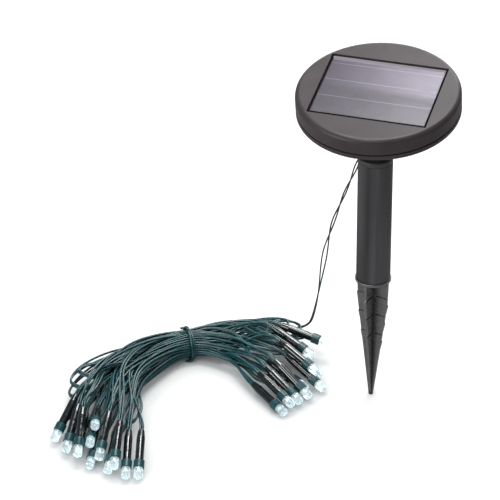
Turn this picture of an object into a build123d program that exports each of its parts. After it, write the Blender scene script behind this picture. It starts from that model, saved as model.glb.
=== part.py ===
from build123d import *

import math
import os

# Solar string lights: a round solar head on a push-in ground stake, with a tied hank of LED string.
# Millimetres, +Z up along the stake's tube. The origin is the tip of the ground spike.
# Head pieces are modelled in the head's own frame, whose origin is on the tilt hinge's axis
# (u = X across, v = to the back, w = up out of the panel), and are then tilted into place.

# --- stake ---------------------------------------------------------------------------------------
SPIKE_LENGTH = 83.0        # tip to the underside of the collar disc
SPIKE_TURN = -12.4         # the push-in spike's fins, turned about the tube's axis
COLLAR_OVERHANG = 0.6      # the collar's rim stands out past the tube by this
COLLAR_THICKNESS = 1.6
FIN_THICKNESS = 1.7
FIN_TIP_REACH = 1.1        # half width of the blunt tip
FIN_KNEE_REACH = 9.6       # half width where the taper eases
FIN_KNEE_FROM_COLLAR = 17.0
FIN_ROOT_INSET = 0.6       # from the collar's rim, at the fins' roots
GROOVE_FROM_COLLAR = (11.2, 24.1, 37.6)
GROOVE_HEIGHT = 0.9
GROOVE_DEPTH = 0.45
GROOVE_INSET = 2.5         # from the spike's axis to the groove's inner end
BARB_REACH = 0.5           # a barb stands this far out of the taper, just under its groove's level
BARB_LENGTH = 6.0
BARB_LEDGE = 1.2
BARB_STAGGER = 5.6         # two neighbouring fins carry their barbs lower by this
SPIKE_PLUG_LENGTH = 22.0
PLUG_CHAMFER = 1.0
TUBE_RADIUS = 10.2
TUBE_WALL = 1.5
TUBE_LENGTH = 79.0
PUSH_CLEARANCE = 0.05      # radial, plug to tube
STEM_PLUG_LENGTH = 16.0
STEM_FLANGE = 3.0

# --- tilt hinge ----------------------------------------------------------------------------------
HINGE_ABOVE_FLANGE = 5.6
TONGUE_THICKNESS = 7.0
TONGUE_RADIUS = 4.6
EAR_RADIUS = 4.8
EAR_THICKNESS = 3.5
WASHER_THICKNESS = 0.6
WASHER_RADIUS = 4.2
WASHER_CLEARANCE = 0.05    # each side of each washer
PIN_RADIUS = 1.95
PIN_CLEARANCE = 0.08       # radial
PIN_HEAD_RADIUS = 3.8
PIN_HEAD_HEIGHT = 2.8
DRIVER_SLOT_WIDTH = 0.8
DRIVER_SLOT_DEPTH = 0.6
DRIVER_SLOT_SHARE = 1.6    # slot length over the screw head's radius
NUT_FLATS = 7.0
NUT_HEIGHT = 3.2
THREAD_OVERHANG = 0.8
HEAD_TILT = 9.6            # degrees towards -Y, as the lamp stands

# --- solar head ----------------------------------------------------------------------------------
HEAD_RADIUS = 47.5
HEAD_BACK = 8.6            # centre of the round head, behind the hinge axis
EAR_DROP = 9.0             # hinge axis to the underside of the battery bulge
BULGE_HEIGHT = 12.0
BULGE_RADIUS = 34.0
BULGE_BACK = 2.0           # bulge centre behind the head's centre
BULGE_WALL = 2.0
BULGE_FLOOR = 2.6
BASE_FLOOR = 2.0
BASE_LIP = 3.0
SEAM_GAP = 1.0
SEAM_DEPTH = 0.9
SPIGOT_HEIGHT = 4.0
SPIGOT_WALL = 2.0
SPIGOT_CLEARANCE = 0.2
COVER_HEIGHT = 9.6
COVER_WALL = 2.2
COVER_TOP = 2.4
COVER_FILLET = 3.0
LIP_FILLET = 0.8

# --- solar panel ---------------------------------------------------------------------------------
PANEL_LENGTH = 68.0
PANEL_WIDTH = 55.0
PANEL_RECESS = 0.8         # below the cover's top face
PANEL_GAP = 0.6            # all round the panel in its pocket
GLAZING_THICKNESS = 1.2
CELL_INSET = 0.5
CELL_THICKNESS = 1.2
GASKET_THICKNESS = 0.6
LEDGE_WIDTH = 4.0
TRAY_WALL = 1.6

# --- head screws ---------------------------------------------------------------------------------
HEAD_SCREW_CIRCLE = 39.8
SCREW_RADIUS = 1.3
SCREW_CLEARANCE = 0.1
SCREW_HEAD_RADIUS = 2.3
SCREW_HEAD_HEIGHT = 1.6
SCREW_LENGTH = 8.0
SCREW_BOSS_RADIUS = 3.0
BOSS_CLEARANCE = 0.1

# --- battery and its door ------------------------------------------------------------------------
CELL_RADIUS = 7.1
CELL_BODY_LENGTH = 48.2
CELL_EDGE = 0.6
CELL_NUB_RADIUS = 2.6
CELL_NUB_HEIGHT = 1.2
BATTERY_BACK = 6.9         # battery axis behind the bulge's centre
BATTERY_FLOOR_GAP = 0.2
CONTACT_THICKNESS = 0.5
CONTACT_WIDTH = 10.0
CONTACT_SPRING_LENGTH = 2.4
CONTACT_SPRING_RADIUS = 4.2
CONTACT_SPRING_TURNS = 3
CONTACT_SPRING_STEP = 1.0  # each turn is smaller than the last by this
CONTACT_SPRING_WIRE = 1.1
CONTACT_WALL = 1.6
CONTACT_WALL_HEIGHT = 11.0
HATCH_END_CLEARANCE = 0.6  # each end of the cell, as it goes in
HATCH_SIDE_CLEARANCE = 0.2
DOOR_THICKNESS = 1.6
DOOR_CLEARANCE = 0.2
DOOR_LEDGE = 1.0
DOOR_EAR_RADIUS = 3.9
DOOR_EAR_OUT = 2.9         # ear centre beyond the door's back edge
DOOR_TAB_LENGTH = 6.0
DOOR_TAB_REACH = 1.2
DOOR_TAB_THICKNESS = 1.2
DOOR_TAB_SPACING = 30.0
DOOR_SCREW_RADIUS = 1.2
DOOR_SCREW_CLEARANCE = 0.1
DOOR_SCREW_HEAD_RADIUS = 2.2
DOOR_SCREW_HEAD_HEIGHT = 1.3
DOOR_SCREW_LENGTH = 8.0
DOOR_POST_RADIUS = 2.8
DOOR_POST_HEIGHT = 7.0
PILOT_SPARE = 0.5          # a blind pilot hole is deeper than its screw by this

# --- switch, board and gland ---------------------------------------------------------------------
SWITCH_U = 17.5
SWITCH_V = -6.0
SWITCH_LENGTH = 11.0
SWITCH_WIDTH = 6.0
SWITCH_HEIGHT = 4.2
SWITCH_TRAVEL = 2.5
SLIDER_LENGTH = 3.0
SLIDER_WIDTH = 2.8
SLIDER_STAND_OUT = 1.5
SLIDER_CLEARANCE = 0.2
SLIDER_FLANGE = 0.8        # the slider's foot, wider than its stem by this each way
SLIDER_FLANGE_HEIGHT = 1.2
SLIDER_SEAT = 1.0          # switch wall under the slider's foot
SLIDER_NOTCH = 0.4
SLIDER_NOTCH_PITCH = 0.9
SWITCH_PIN_RADIUS = 0.45
SWITCH_PIN_LENGTH = 3.0
SWITCH_PIN_PITCH = 3.0
BOARD_U = -5.0
BOARD_V = -7.0
BOARD_LENGTH = 24.0
BOARD_WIDTH = 13.0
BOARD_THICKNESS = 1.2
BOARD_POST_HEIGHT = 4.4
BOARD_POST_RADIUS = 2.0
BOARD_CHIP = (4.0, 3.9, 1.4)           # length, width, height
BOARD_CHIP_AT = (-6.0, 2.0)            # from the board's middle
BOARD_COIL_RADIUS = 3.0
BOARD_COIL_HEIGHT = 4.0
BOARD_COIL_AT = (2.0, -1.5)
BOARD_CAPACITOR_RADIUS = 1.6
BOARD_CAPACITOR_HEIGHT = 5.0
BOARD_CAPACITOR_AT = (8.5, 3.0)
GLAND_U = -14.0
GLAND_V = 32.0
GLAND_FLANGE_RADIUS = 4.0
GLAND_FLANGE_HEIGHT = 1.6
GLAND_NECK_RADIUS = 2.5
GLAND_CLEARANCE = 0.1
GLAND_LIP_RADIUS = 3.1
GLAND_LIP_HEIGHT = 1.0
GLAND_TAIL_LENGTH = 8.9
GLAND_TIP_RADIUS = 1.8

# --- LED string ----------------------------------------------------------------------------------
LEAD_RADIUS = 1.1          # the two twisted wires of the lead, together
LENS_RADIUS = 2.6
LENS_LENGTH = 9.2
LENS_SHOWN = 6.2
LENS_CONE_RADIUS = 1.9
LENS_CONE_DEPTH = 1.2
LENS_EDGE = 0.25
SOCKET_RADIUS = 3.2
SOCKET_LENGTH = 5.0
SOCKET_CLEARANCE = 0.05
SOCKET_TAIL_RADIUS = 1.8
SOCKET_TAIL_LENGTH = 3.0
SLEEVE_RADIUS = 2.5
SLEEVE_LENGTH = 20.8
SLEEVE_TAPER = 5.0
SLEEVE_END_RADIUS = 1.9
SLEEVE_CLEARANCE = 0.1
TIE_RADIUS = 0.8
TIE_CLEARANCE = 0.1
WAIST_LENGTH = 4.0
WAIST_WIDTH = 19.2
WAIST_HEIGHT = 16.8
WAIST_HEADING = 34.0
WAIST_CENTRE = (-120.0, 7.6, 9.0)
HANK_FLAT = 0.4            # upright flat left between the hank's rounded corners

# Lens tip (x, y, z), heading in plan and dip below level, in degrees, of each LED as it lies.
LEFT_LEDS = (
    (-166, -106, 4, -99, 27),
    (-155, -115, 4.5, -85, 23),
    (-148, -114, 3.5, -79, 13),
    (-145, -121.5, 8, -77, 24),
    (-139, -107, 20, -72, -16),
    (-139, -116, 13.5, -73, -10),
    (-137, -124, 3.5, -82, 6),
    (-132, -121, 8, -83, 23),
    (-125, -126, 3.5, -83, 19),
    (-120, -128, 9, -78, 22),
    (-113, -128, 3.5, -75, 22),
    (-106, -126, 3.5, -75, 22),
)
RIGHT_LEDS = (
    (-34, 26, 13, -4, 12),
    (-45, 23, 4, -20, 14),
    (-33, 1, 5, -26, 20),
    (-27, -9, 3.5, -25, 20),
    (-33, -20, 4, -28, 23),
    (-37, -27, 4, -31, 19),
    (-40, -34, 6, -34, 12),
    (-43, -40, 3.5, -37, 6),
    (-36, 9, 3.5, -18, 10),
    (-32, -6, 13, -26, 16),
    (-38, -11, 3.5, -26, 10),
    (-41, 15, 10, -20, 16),
)

# Outline of the hank on each side of its tie: centre (x, y, z), width, height and heading.
HANK_LEFT = (
    ((-138, -94.4, 12.5), 58, 21, 70),
    ((-148, -70, 12.5), 52, 20, 92),
    ((-151, -46, 11.5), 45, 18, 90),
    ((-147.5, -28, 10.5), 41, 17, 74),
    ((-141, -14, 10), 36, 16.8, 60),
    ((-131.5, -1.5, 9.5), 26, 16.8, 46),
)
HANK_RIGHT = (
    ((-107, 14.5, 9.5), 29, 16.8, 20),
    ((-90, 17.5, 10), 43, 18, 5),
    ((-76, 15, 11), 51, 20, -4),
    ((-64, 6, 12), 58, 21, -6),
    ((-55, 2, 14.5), 22, 15, -12),
)

# Route of the lead from the gland down to the hank, where it is bound in.
LEAD_FIRST_RUN = 17.0      # straight out of the gland
LEAD_ROUTE = (
    (-20, 34.5, 138),
    (-29.5, 34, 112),
    (-37, 33.5, 88),
    (-41, 34, 62),
    (-43.5, 34, 42),
    (-46.5, 34.5, 27),
    (-49, 40, 15),
    (-58, 42.5, 9.5),
    (-68, 37, 9),
)
ARC_SHARE = 0.45           # each bend's tangent length, as a share of its shorter run

# --- sizes that follow ---------------------------------------------------------------------------
TUBE_BORE = TUBE_RADIUS - TUBE_WALL
COLLAR_RADIUS = TUBE_RADIUS + COLLAR_OVERHANG
FIN_ROOT_REACH = COLLAR_RADIUS - FIN_ROOT_INSET
TUBE_BOTTOM = SPIKE_LENGTH + COLLAR_THICKNESS
TUBE_TOP = TUBE_BOTTOM + TUBE_LENGTH
FLANGE_TOP = TUBE_TOP + STEM_FLANGE
HINGE_HEIGHT = FLANGE_TOP + HINGE_ABOVE_FLANGE
EAR_INNER = TONGUE_THICKNESS / 2 + WASHER_THICKNESS + 2 * WASHER_CLEARANCE
EAR_OUTER = EAR_INNER + EAR_THICKNESS

BULGE_BOTTOM = EAR_DROP
BULGE_INSIDE = BULGE_BOTTOM + BULGE_FLOOR
BULGE_V = HEAD_BACK + BULGE_BACK
BASE_BOTTOM = BULGE_BOTTOM + BULGE_HEIGHT
BASE_INSIDE = BASE_BOTTOM + BASE_FLOOR
LIP_TOP = BASE_BOTTOM + BASE_LIP
COVER_BOTTOM = LIP_TOP + SEAM_GAP
COVER_FACE = COVER_BOTTOM + COVER_HEIGHT
COVER_INNER_RADIUS = HEAD_RADIUS - COVER_WALL
SPIGOT_RADIUS = COVER_INNER_RADIUS - SPIGOT_CLEARANCE

GLAZING_TOP = COVER_FACE - PANEL_RECESS
CELL_TOP = GLAZING_TOP - GLAZING_THICKNESS
GASKET_TOP = CELL_TOP - CELL_THICKNESS
POCKET_FLOOR = GASKET_TOP - GASKET_THICKNESS
TRAY_BOTTOM = POCKET_FLOOR - TRAY_WALL
POCKET_LENGTH = PANEL_LENGTH + 2 * PANEL_GAP
POCKET_WIDTH = PANEL_WIDTH + 2 * PANEL_GAP

BATTERY_V = BULGE_V + BATTERY_BACK
BATTERY_W = BULGE_INSIDE + BATTERY_FLOOR_GAP + CELL_RADIUS
CELL_LENGTH = CELL_BODY_LENGTH + CELL_NUB_HEIGHT
CONTACT_FACE = CELL_LENGTH / 2 + CONTACT_SPRING_LENGTH
HATCH_LENGTH = CELL_LENGTH + 2 * HATCH_END_CLEARANCE
HATCH_WIDTH = 2 * (CELL_RADIUS + HATCH_SIDE_CLEARANCE)
DOOR_LENGTH = HATCH_LENGTH + 2 * DOOR_LEDGE
DOOR_WIDTH = HATCH_WIDTH + 2 * DOOR_LEDGE
DOOR_EAR_V = BATTERY_V + DOOR_WIDTH / 2 + DOOR_EAR_OUT
SLIDER_SLOT_LENGTH = SLIDER_LENGTH + SWITCH_TRAVEL + 2 * SLIDER_CLEARANCE
SLIDER_SLOT_WIDTH = SLIDER_WIDTH + 2 * SLIDER_CLEARANCE

LED_REAR = LENS_SHOWN + SOCKET_LENGTH
BASED = (Align.CENTER, Align.CENTER, Align.MIN)


# --- helpers -------------------------------------------------------------------------------------
def upright(radius, bottom, top, at=(0, 0)):
    """A vertical cylinder between two heights."""
    return Pos(at[0], at[1], bottom) * Cylinder(radius, top - bottom, align=BASED)


def block(length, width, bottom, top, at=(0, 0)):
    """A box between two heights, centred on a point in plan."""
    return Pos(at[0], at[1], bottom) * Box(length, width, top - bottom, align=BASED)


def crosswise(radius, left, right, v=0.0, w=0.0):
    """A cylinder along X from one X to another."""
    return Pos(left, v, w) * Rot(0, 90, 0) * Cylinder(radius, right - left, align=BASED)


def turned(profile):
    """A solid turned about Z from (radius, height) points."""
    outline = [(radius, 0, height) for radius, height in profile]
    return revolve(make_face(Polyline(*outline, close=True)), Axis.Z)


def outer_rims(shape, height):
    """The circular edges of a shape that lie at one height."""
    return [e for e in shape.edges().filter_by(GeomType.CIRCLE) if abs(e.center().Z - height) < 1e-4]


def largest(edges):
    return max(edges, key=lambda e: e.length)


def on_head(shape):
    """Carry a head piece from the head's frame to its place on the stake."""
    return Pos(0, 0, HINGE_HEIGHT) * Rot(HEAD_TILT, 0, 0) * shape


def head_screw_places():
    return [
        (HEAD_SCREW_CIRCLE * math.cos(a), HEAD_BACK + HEAD_SCREW_CIRCLE * math.sin(a))
        for a in (0.0, math.pi / 2, math.pi, 3 * math.pi / 2)
    ]


# --- stake ---------------------------------------------------------------------------------------
def fin_reach(height):
    """Half width of the bare taper at a height above the tip."""
    knee = SPIKE_LENGTH - FIN_KNEE_FROM_COLLAR
    if height < knee:
        return FIN_TIP_REACH + (FIN_KNEE_REACH - FIN_TIP_REACH) * height / knee
    return FIN_KNEE_REACH + (FIN_ROOT_REACH - FIN_KNEE_REACH) * (height - knee) / FIN_KNEE_FROM_COLLAR


def fin(drop):
    """One tapered fin in the XZ plane, grooved on both faces, its barbs lowered by drop."""
    outline = [(0, 0), (FIN_TIP_REACH, 0)]
    for groove in sorted(GROOVE_FROM_COLLAR, reverse=True):
        barb = SPIKE_LENGTH - groove - GROOVE_HEIGHT / 2 - drop
        outline.append((fin_reach(barb - BARB_LENGTH), barb - BARB_LENGTH))
        outline.append((fin_reach(barb) + BARB_REACH, barb))
        outline.append((fin_reach(barb + BARB_LEDGE), barb + BARB_LEDGE))
    outline += [(FIN_ROOT_REACH, SPIKE_LENGTH), (0, SPIKE_LENGTH)]
    face = make_face(Polyline(*[(x, 0, z) for x, z in outline], close=True))
    blade = extrude(face, FIN_THICKNESS / 2, dir=(0, 1, 0), both=True)
    slot = Pos(COLLAR_RADIUS / 2 + GROOVE_INSET, 0, 0) * Box(COLLAR_RADIUS, GROOVE_DEPTH, GROOVE_HEIGHT)
    for groove in GROOVE_FROM_COLLAR:
        for side in (-1, 1):
            blade -= Pos(0, side * (FIN_THICKNESS - GROOVE_DEPTH) / 2, SPIKE_LENGTH - groove) * slot
    return blade


def ground_spike():
    body = upright(COLLAR_RADIUS, SPIKE_LENGTH, TUBE_BOTTOM)
    body = fillet(largest(outer_rims(body, TUBE_BOTTOM)), COLLAR_THICKNESS / 4)
    plug_top = TUBE_BOTTOM + SPIKE_PLUG_LENGTH
    plug = upright(TUBE_BORE - PUSH_CLEARANCE, TUBE_BOTTOM, plug_top)
    body += chamfer(outer_rims(plug, plug_top), PLUG_CHAMFER)
    for quarter, drop in enumerate((BARB_STAGGER, BARB_STAGGER, 0.0, 0.0)):
        body += Rot(0, 0, 90 * quarter) * fin(drop)
    return Rot(0, 0, SPIKE_TURN) * body


def stem_tube():
    tube = upright(TUBE_RADIUS, TUBE_BOTTOM, TUBE_TOP)
    for height in (TUBE_BOTTOM, TUBE_TOP):
        tube = chamfer(outer_rims(tube, height), TUBE_WALL / 5)
    return tube - upright(TUBE_BORE, TUBE_BOTTOM, TUBE_TOP)


def stem_head():
    """Plug, flange and hinge tongue at the top of the tube."""
    plug = upright(TUBE_BORE - PUSH_CLEARANCE, TUBE_TOP - STEM_PLUG_LENGTH, TUBE_TOP)
    body = chamfer(outer_rims(plug, TUBE_TOP - STEM_PLUG_LENGTH), PLUG_CHAMFER)
    flange = upright(TUBE_RADIUS, TUBE_TOP, FLANGE_TOP)
    body += fillet(outer_rims(flange, FLANGE_TOP), STEM_FLANGE / 3)
    body += block(TONGUE_THICKNESS, 2 * TONGUE_RADIUS, FLANGE_TOP, HINGE_HEIGHT)
    body += crosswise(TONGUE_RADIUS, -TONGUE_THICKNESS / 2, TONGUE_THICKNESS / 2, 0, HINGE_HEIGHT)
    bore = crosswise(PIN_RADIUS + PIN_CLEARANCE, -TONGUE_THICKNESS, TONGUE_THICKNESS, 0, HINGE_HEIGHT)
    return body - bore


# --- tilt hinge ----------------------------------------------------------------------------------
def friction_washers():
    washers = []
    for side in (-1, 1):
        middle = side * (TONGUE_THICKNESS / 2 + WASHER_CLEARANCE + WASHER_THICKNESS / 2)
        left = middle - WASHER_THICKNESS / 2
        right = middle + WASHER_THICKNESS / 2
        ring = crosswise(WASHER_RADIUS, left, right, 0, HINGE_HEIGHT)
        washers.append(ring - crosswise(PIN_RADIUS + PIN_CLEARANCE, left, right, 0, HINGE_HEIGHT))
    return Compound(children=washers)


def hinge_screw():
    shank_end = EAR_OUTER + NUT_HEIGHT + THREAD_OVERHANG
    body = crosswise(PIN_RADIUS, -EAR_OUTER, shank_end)
    head = crosswise(PIN_HEAD_RADIUS, -EAR_OUTER - PIN_HEAD_HEIGHT, -EAR_OUTER)
    far = [e for e in head.edges() if e.center().X < -EAR_OUTER - PIN_HEAD_HEIGHT + 0.01]
    head = fillet(far, PIN_HEAD_HEIGHT / 3)
    slot = Box(2 * DRIVER_SLOT_DEPTH, DRIVER_SLOT_SHARE * PIN_HEAD_RADIUS, DRIVER_SLOT_WIDTH)
    return on_head(body + (head - Pos(-EAR_OUTER - PIN_HEAD_HEIGHT, 0, 0) * slot))


def hinge_nut():
    hexagon = RegularPolygon(NUT_FLATS / 2, 6, major_radius=False)
    nut = Pos(EAR_OUTER, 0, 0) * Rot(0, 90, 0) * extrude(hexagon, NUT_HEIGHT)
    return on_head(nut - crosswise(PIN_RADIUS, EAR_OUTER, EAR_OUTER + NUT_HEIGHT))


# --- solar head ----------------------------------------------------------------------------------
def head_top_cover():
    centre = (0, HEAD_BACK)
    body = upright(HEAD_RADIUS, COVER_BOTTOM, COVER_FACE, centre)
    body = fillet(largest(outer_rims(body, COVER_FACE)), COVER_FILLET)
    body -= upright(COVER_INNER_RADIUS, COVER_BOTTOM, COVER_FACE - COVER_TOP, centre)
    tray_length = POCKET_LENGTH + 2 * TRAY_WALL
    tray_width = POCKET_WIDTH + 2 * TRAY_WALL
    tray = block(tray_length, tray_width, TRAY_BOTTOM, COVER_FACE - COVER_TOP, centre)
    body += tray & upright(HEAD_RADIUS - COVER_WALL / 2, TRAY_BOTTOM, COVER_FACE, centre)
    for place in head_screw_places():
        body += upright(SCREW_BOSS_RADIUS, BASE_INSIDE + BOSS_CLEARANCE, COVER_FACE - COVER_TOP, place)
    body -= block(POCKET_LENGTH, POCKET_WIDTH, POCKET_FLOOR, COVER_FACE, centre)
    window_length = PANEL_LENGTH - 2 * LEDGE_WIDTH
    window_width = PANEL_WIDTH - 2 * LEDGE_WIDTH
    body -= block(window_length, window_width, TRAY_BOTTOM, POCKET_FLOOR, centre)
    pilot_top = BASE_BOTTOM + SCREW_LENGTH + PILOT_SPARE
    for place in head_screw_places():
        body -= upright(SCREW_RADIUS + PUSH_CLEARANCE, BASE_INSIDE, pilot_top, place)
    return on_head(body)


def head_seal():
    """Square-section ring between lip and cover, set back from the rim."""
    centre = (0, HEAD_BACK)
    ring = upright(HEAD_RADIUS - SEAM_DEPTH, LIP_TOP, COVER_BOTTOM, centre)
    return on_head(ring - upright(SPIGOT_RADIUS + SPIGOT_CLEARANCE / 2, LIP_TOP, COVER_BOTTOM, centre))


def hinge_ears():
    ears = []
    for side in (-1, 1):
        left = EAR_INNER if side > 0 else -EAR_OUTER
        ear = crosswise(EAR_RADIUS, left, left + EAR_THICKNESS)
        web = block(EAR_THICKNESS, 2 * EAR_RADIUS, 0, BULGE_BOTTOM, (left + EAR_THICKNESS / 2, 0))
        ear += web
        ear -= crosswise(PIN_RADIUS + PIN_CLEARANCE, left, left + EAR_THICKNESS)
        ears.append(ear)
    return ears


def door_outline(bottom, top, clearance):
    """The door's plan, grown by a clearance, between two heights."""
    plate = block(DOOR_LENGTH + 2 * clearance, DOOR_WIDTH + 2 * clearance, bottom, top, (0, BATTERY_V))
    reach = DOOR_EAR_OUT + DOOR_WIDTH / 2
    neck = block(2 * (DOOR_EAR_RADIUS + clearance), reach, bottom, top, (0, BATTERY_V + reach / 2))
    return plate + neck + upright(DOOR_EAR_RADIUS + clearance, bottom, top, (0, DOOR_EAR_V))


def head_base():
    centre = (0, HEAD_BACK)
    bulge = (0, BULGE_V)
    body = upright(HEAD_RADIUS, BASE_BOTTOM, LIP_TOP, centre)
    body = fillet(largest(outer_rims(body, BASE_BOTTOM)), LIP_FILLET)
    body += upright(SPIGOT_RADIUS, LIP_TOP, LIP_TOP + SPIGOT_HEIGHT, centre)
    body -= upright(SPIGOT_RADIUS - SPIGOT_WALL, BASE_INSIDE, LIP_TOP + SPIGOT_HEIGHT, centre)
    drum = upright(BULGE_RADIUS, BULGE_BOTTOM, BASE_BOTTOM, bulge)
    body += fillet(largest(outer_rims(drum, BULGE_BOTTOM)), BULGE_WALL / 2)
    body -= upright(BULGE_RADIUS - BULGE_WALL, BULGE_INSIDE, BASE_INSIDE, bulge)
    for ear in hinge_ears():
        body += ear
    wall_top = BULGE_INSIDE + CONTACT_WALL_HEIGHT
    for side in (-1, 1):
        wall_u = side * (CONTACT_FACE + CONTACT_THICKNESS + CONTACT_WALL / 2)
        body += block(CONTACT_WALL, CONTACT_WIDTH, BULGE_INSIDE, wall_top, (wall_u, BATTERY_V))
    post_top = BULGE_INSIDE + DOOR_POST_HEIGHT
    body += upright(DOOR_POST_RADIUS, BULGE_INSIDE, post_top, (0, DOOR_EAR_V))
    for end in (-1, 1):
        post = (BOARD_U + end * (BOARD_LENGTH / 2 - BOARD_POST_RADIUS), BOARD_V)
        body += upright(BOARD_POST_RADIUS, BULGE_INSIDE, BULGE_INSIDE + BOARD_POST_HEIGHT, post)
    body -= door_outline(BULGE_BOTTOM, BULGE_BOTTOM + DOOR_THICKNESS + DOOR_CLEARANCE, DOOR_CLEARANCE)
    body -= block(HATCH_LENGTH, HATCH_WIDTH, BULGE_BOTTOM, BULGE_INSIDE, (0, BATTERY_V))
    pilot_top = BULGE_BOTTOM + DOOR_SCREW_LENGTH + PILOT_SPARE
    body -= upright(DOOR_SCREW_RADIUS + PUSH_CLEARANCE, BULGE_BOTTOM, pilot_top, (0, DOOR_EAR_V))
    slot_at = (SWITCH_U + SWITCH_TRAVEL / 2, SWITCH_V)
    body -= block(SLIDER_SLOT_LENGTH, SLIDER_SLOT_WIDTH, BULGE_BOTTOM, BULGE_INSIDE, slot_at)
    body -= upright(GLAND_NECK_RADIUS + GLAND_CLEARANCE, BULGE_BOTTOM, BULGE_INSIDE, (GLAND_U, GLAND_V))
    for place in head_screw_places():
        body -= upright(SCREW_RADIUS + SCREW_CLEARANCE, BASE_BOTTOM, BASE_INSIDE, place)
    return on_head(body)


def screw_from_below(radius, length, head_radius, head_height, seat, place):
    """A pan-head screw driven up from a seat height, with a straight driver slot."""
    head = upright(head_radius, seat - head_height, seat, place)
    head = fillet(outer_rims(head, seat - head_height), head_height / 3)
    slot = Box(DRIVER_SLOT_SHARE * head_radius, DRIVER_SLOT_WIDTH, 2 * DRIVER_SLOT_DEPTH)
    head -= Pos(place[0], place[1], seat - head_height) * slot
    return on_head(head + upright(radius, seat, seat + length, place))


def head_screws():
    sizes = (SCREW_RADIUS, SCREW_LENGTH, SCREW_HEAD_RADIUS, SCREW_HEAD_HEIGHT, BASE_BOTTOM)
    return Compound(children=[screw_from_below(*sizes, place) for place in head_screw_places()])


# --- solar panel ---------------------------------------------------------------------------------
def panel_glazing():
    return on_head(block(PANEL_LENGTH, PANEL_WIDTH, CELL_TOP, GLAZING_TOP, (0, HEAD_BACK)))


def solar_cell_board():
    length = PANEL_LENGTH - 2 * CELL_INSET
    width = PANEL_WIDTH - 2 * CELL_INSET
    return on_head(block(length, width, GASKET_TOP, CELL_TOP, (0, HEAD_BACK)))


def panel_gasket():
    ring = block(PANEL_LENGTH, PANEL_WIDTH, POCKET_FLOOR, GASKET_TOP, (0, HEAD_BACK))
    window_length = PANEL_LENGTH - 2 * LEDGE_WIDTH
    window_width = PANEL_WIDTH - 2 * LEDGE_WIDTH
    return on_head(ring - block(window_length, window_width, POCKET_FLOOR, GASKET_TOP, (0, HEAD_BACK)))


# --- battery and its door ------------------------------------------------------------------------
def battery_cell():
    left = -CELL_LENGTH / 2
    can = crosswise(CELL_RADIUS, left, left + CELL_BODY_LENGTH, BATTERY_V, BATTERY_W)
    can = fillet(can.edges().filter_by(GeomType.CIRCLE), CELL_EDGE)
    nub = crosswise(CELL_NUB_RADIUS, left + CELL_BODY_LENGTH, CELL_LENGTH / 2, BATTERY_V, BATTERY_W)
    return on_head(can + nub)


def contact_plate(side):
    """Sheet contact held against its wall, between floor and wall top."""
    face = side * CONTACT_FACE
    middle = face + side * CONTACT_THICKNESS / 2
    top = BULGE_INSIDE + CONTACT_WALL_HEIGHT
    return block(CONTACT_THICKNESS, CONTACT_WIDTH, BULGE_INSIDE, top, (middle, BATTERY_V))


def battery_spring_contact():
    """Negative contact: a sheet with a stepped conical spring."""
    body = contact_plate(-1)
    pitch = CONTACT_SPRING_LENGTH / CONTACT_SPRING_TURNS
    for turn in range(CONTACT_SPRING_TURNS):
        left = -CONTACT_FACE + turn * pitch
        radius = CONTACT_SPRING_RADIUS - turn * CONTACT_SPRING_STEP
        ring = crosswise(radius, left, left + pitch, BATTERY_V, BATTERY_W)
        body += ring - crosswise(radius - CONTACT_SPRING_WIRE, left, left + pitch, BATTERY_V, BATTERY_W)
    return on_head(body)


def battery_plate_contact():
    """Positive contact: a sheet with a pressed bump that meets the cell's nub."""
    bump = crosswise(CELL_NUB_RADIUS, CELL_LENGTH / 2, CONTACT_FACE, BATTERY_V, BATTERY_W)
    return on_head(contact_plate(1) + bump)


def battery_door():
    """Screwed door whose two hooks lie over the front edge of the hatch."""
    door_top = BULGE_BOTTOM + DOOR_THICKNESS
    body = door_outline(BULGE_BOTTOM, door_top, 0)
    rib_front = BATTERY_V - DOOR_WIDTH / 2 + DOOR_LEDGE + DOOR_CLEARANCE
    hook_bottom = BULGE_INSIDE + DOOR_CLEARANCE / 2
    hook_top = hook_bottom + DOOR_TAB_THICKNESS
    hook_width = DOOR_TAB_THICKNESS + DOOR_TAB_REACH
    for end in (-1, 1):
        u = end * DOOR_TAB_SPACING / 2
        rib_middle = rib_front + DOOR_TAB_THICKNESS / 2
        body += block(DOOR_TAB_LENGTH, DOOR_TAB_THICKNESS, door_top, hook_top, (u, rib_middle))
        hook_middle = rib_front + DOOR_TAB_THICKNESS - hook_width / 2
        body += block(DOOR_TAB_LENGTH, hook_width, hook_bottom, hook_top, (u, hook_middle))
    bore = DOOR_SCREW_RADIUS + DOOR_SCREW_CLEARANCE
    return on_head(body - upright(bore, BULGE_BOTTOM, door_top, (0, DOOR_EAR_V)))


def door_screw():
    sizes = (DOOR_SCREW_RADIUS, DOOR_SCREW_LENGTH, DOOR_SCREW_HEAD_RADIUS, DOOR_SCREW_HEAD_HEIGHT)
    return screw_from_below(*sizes, BULGE_BOTTOM, (0, DOOR_EAR_V))


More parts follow.
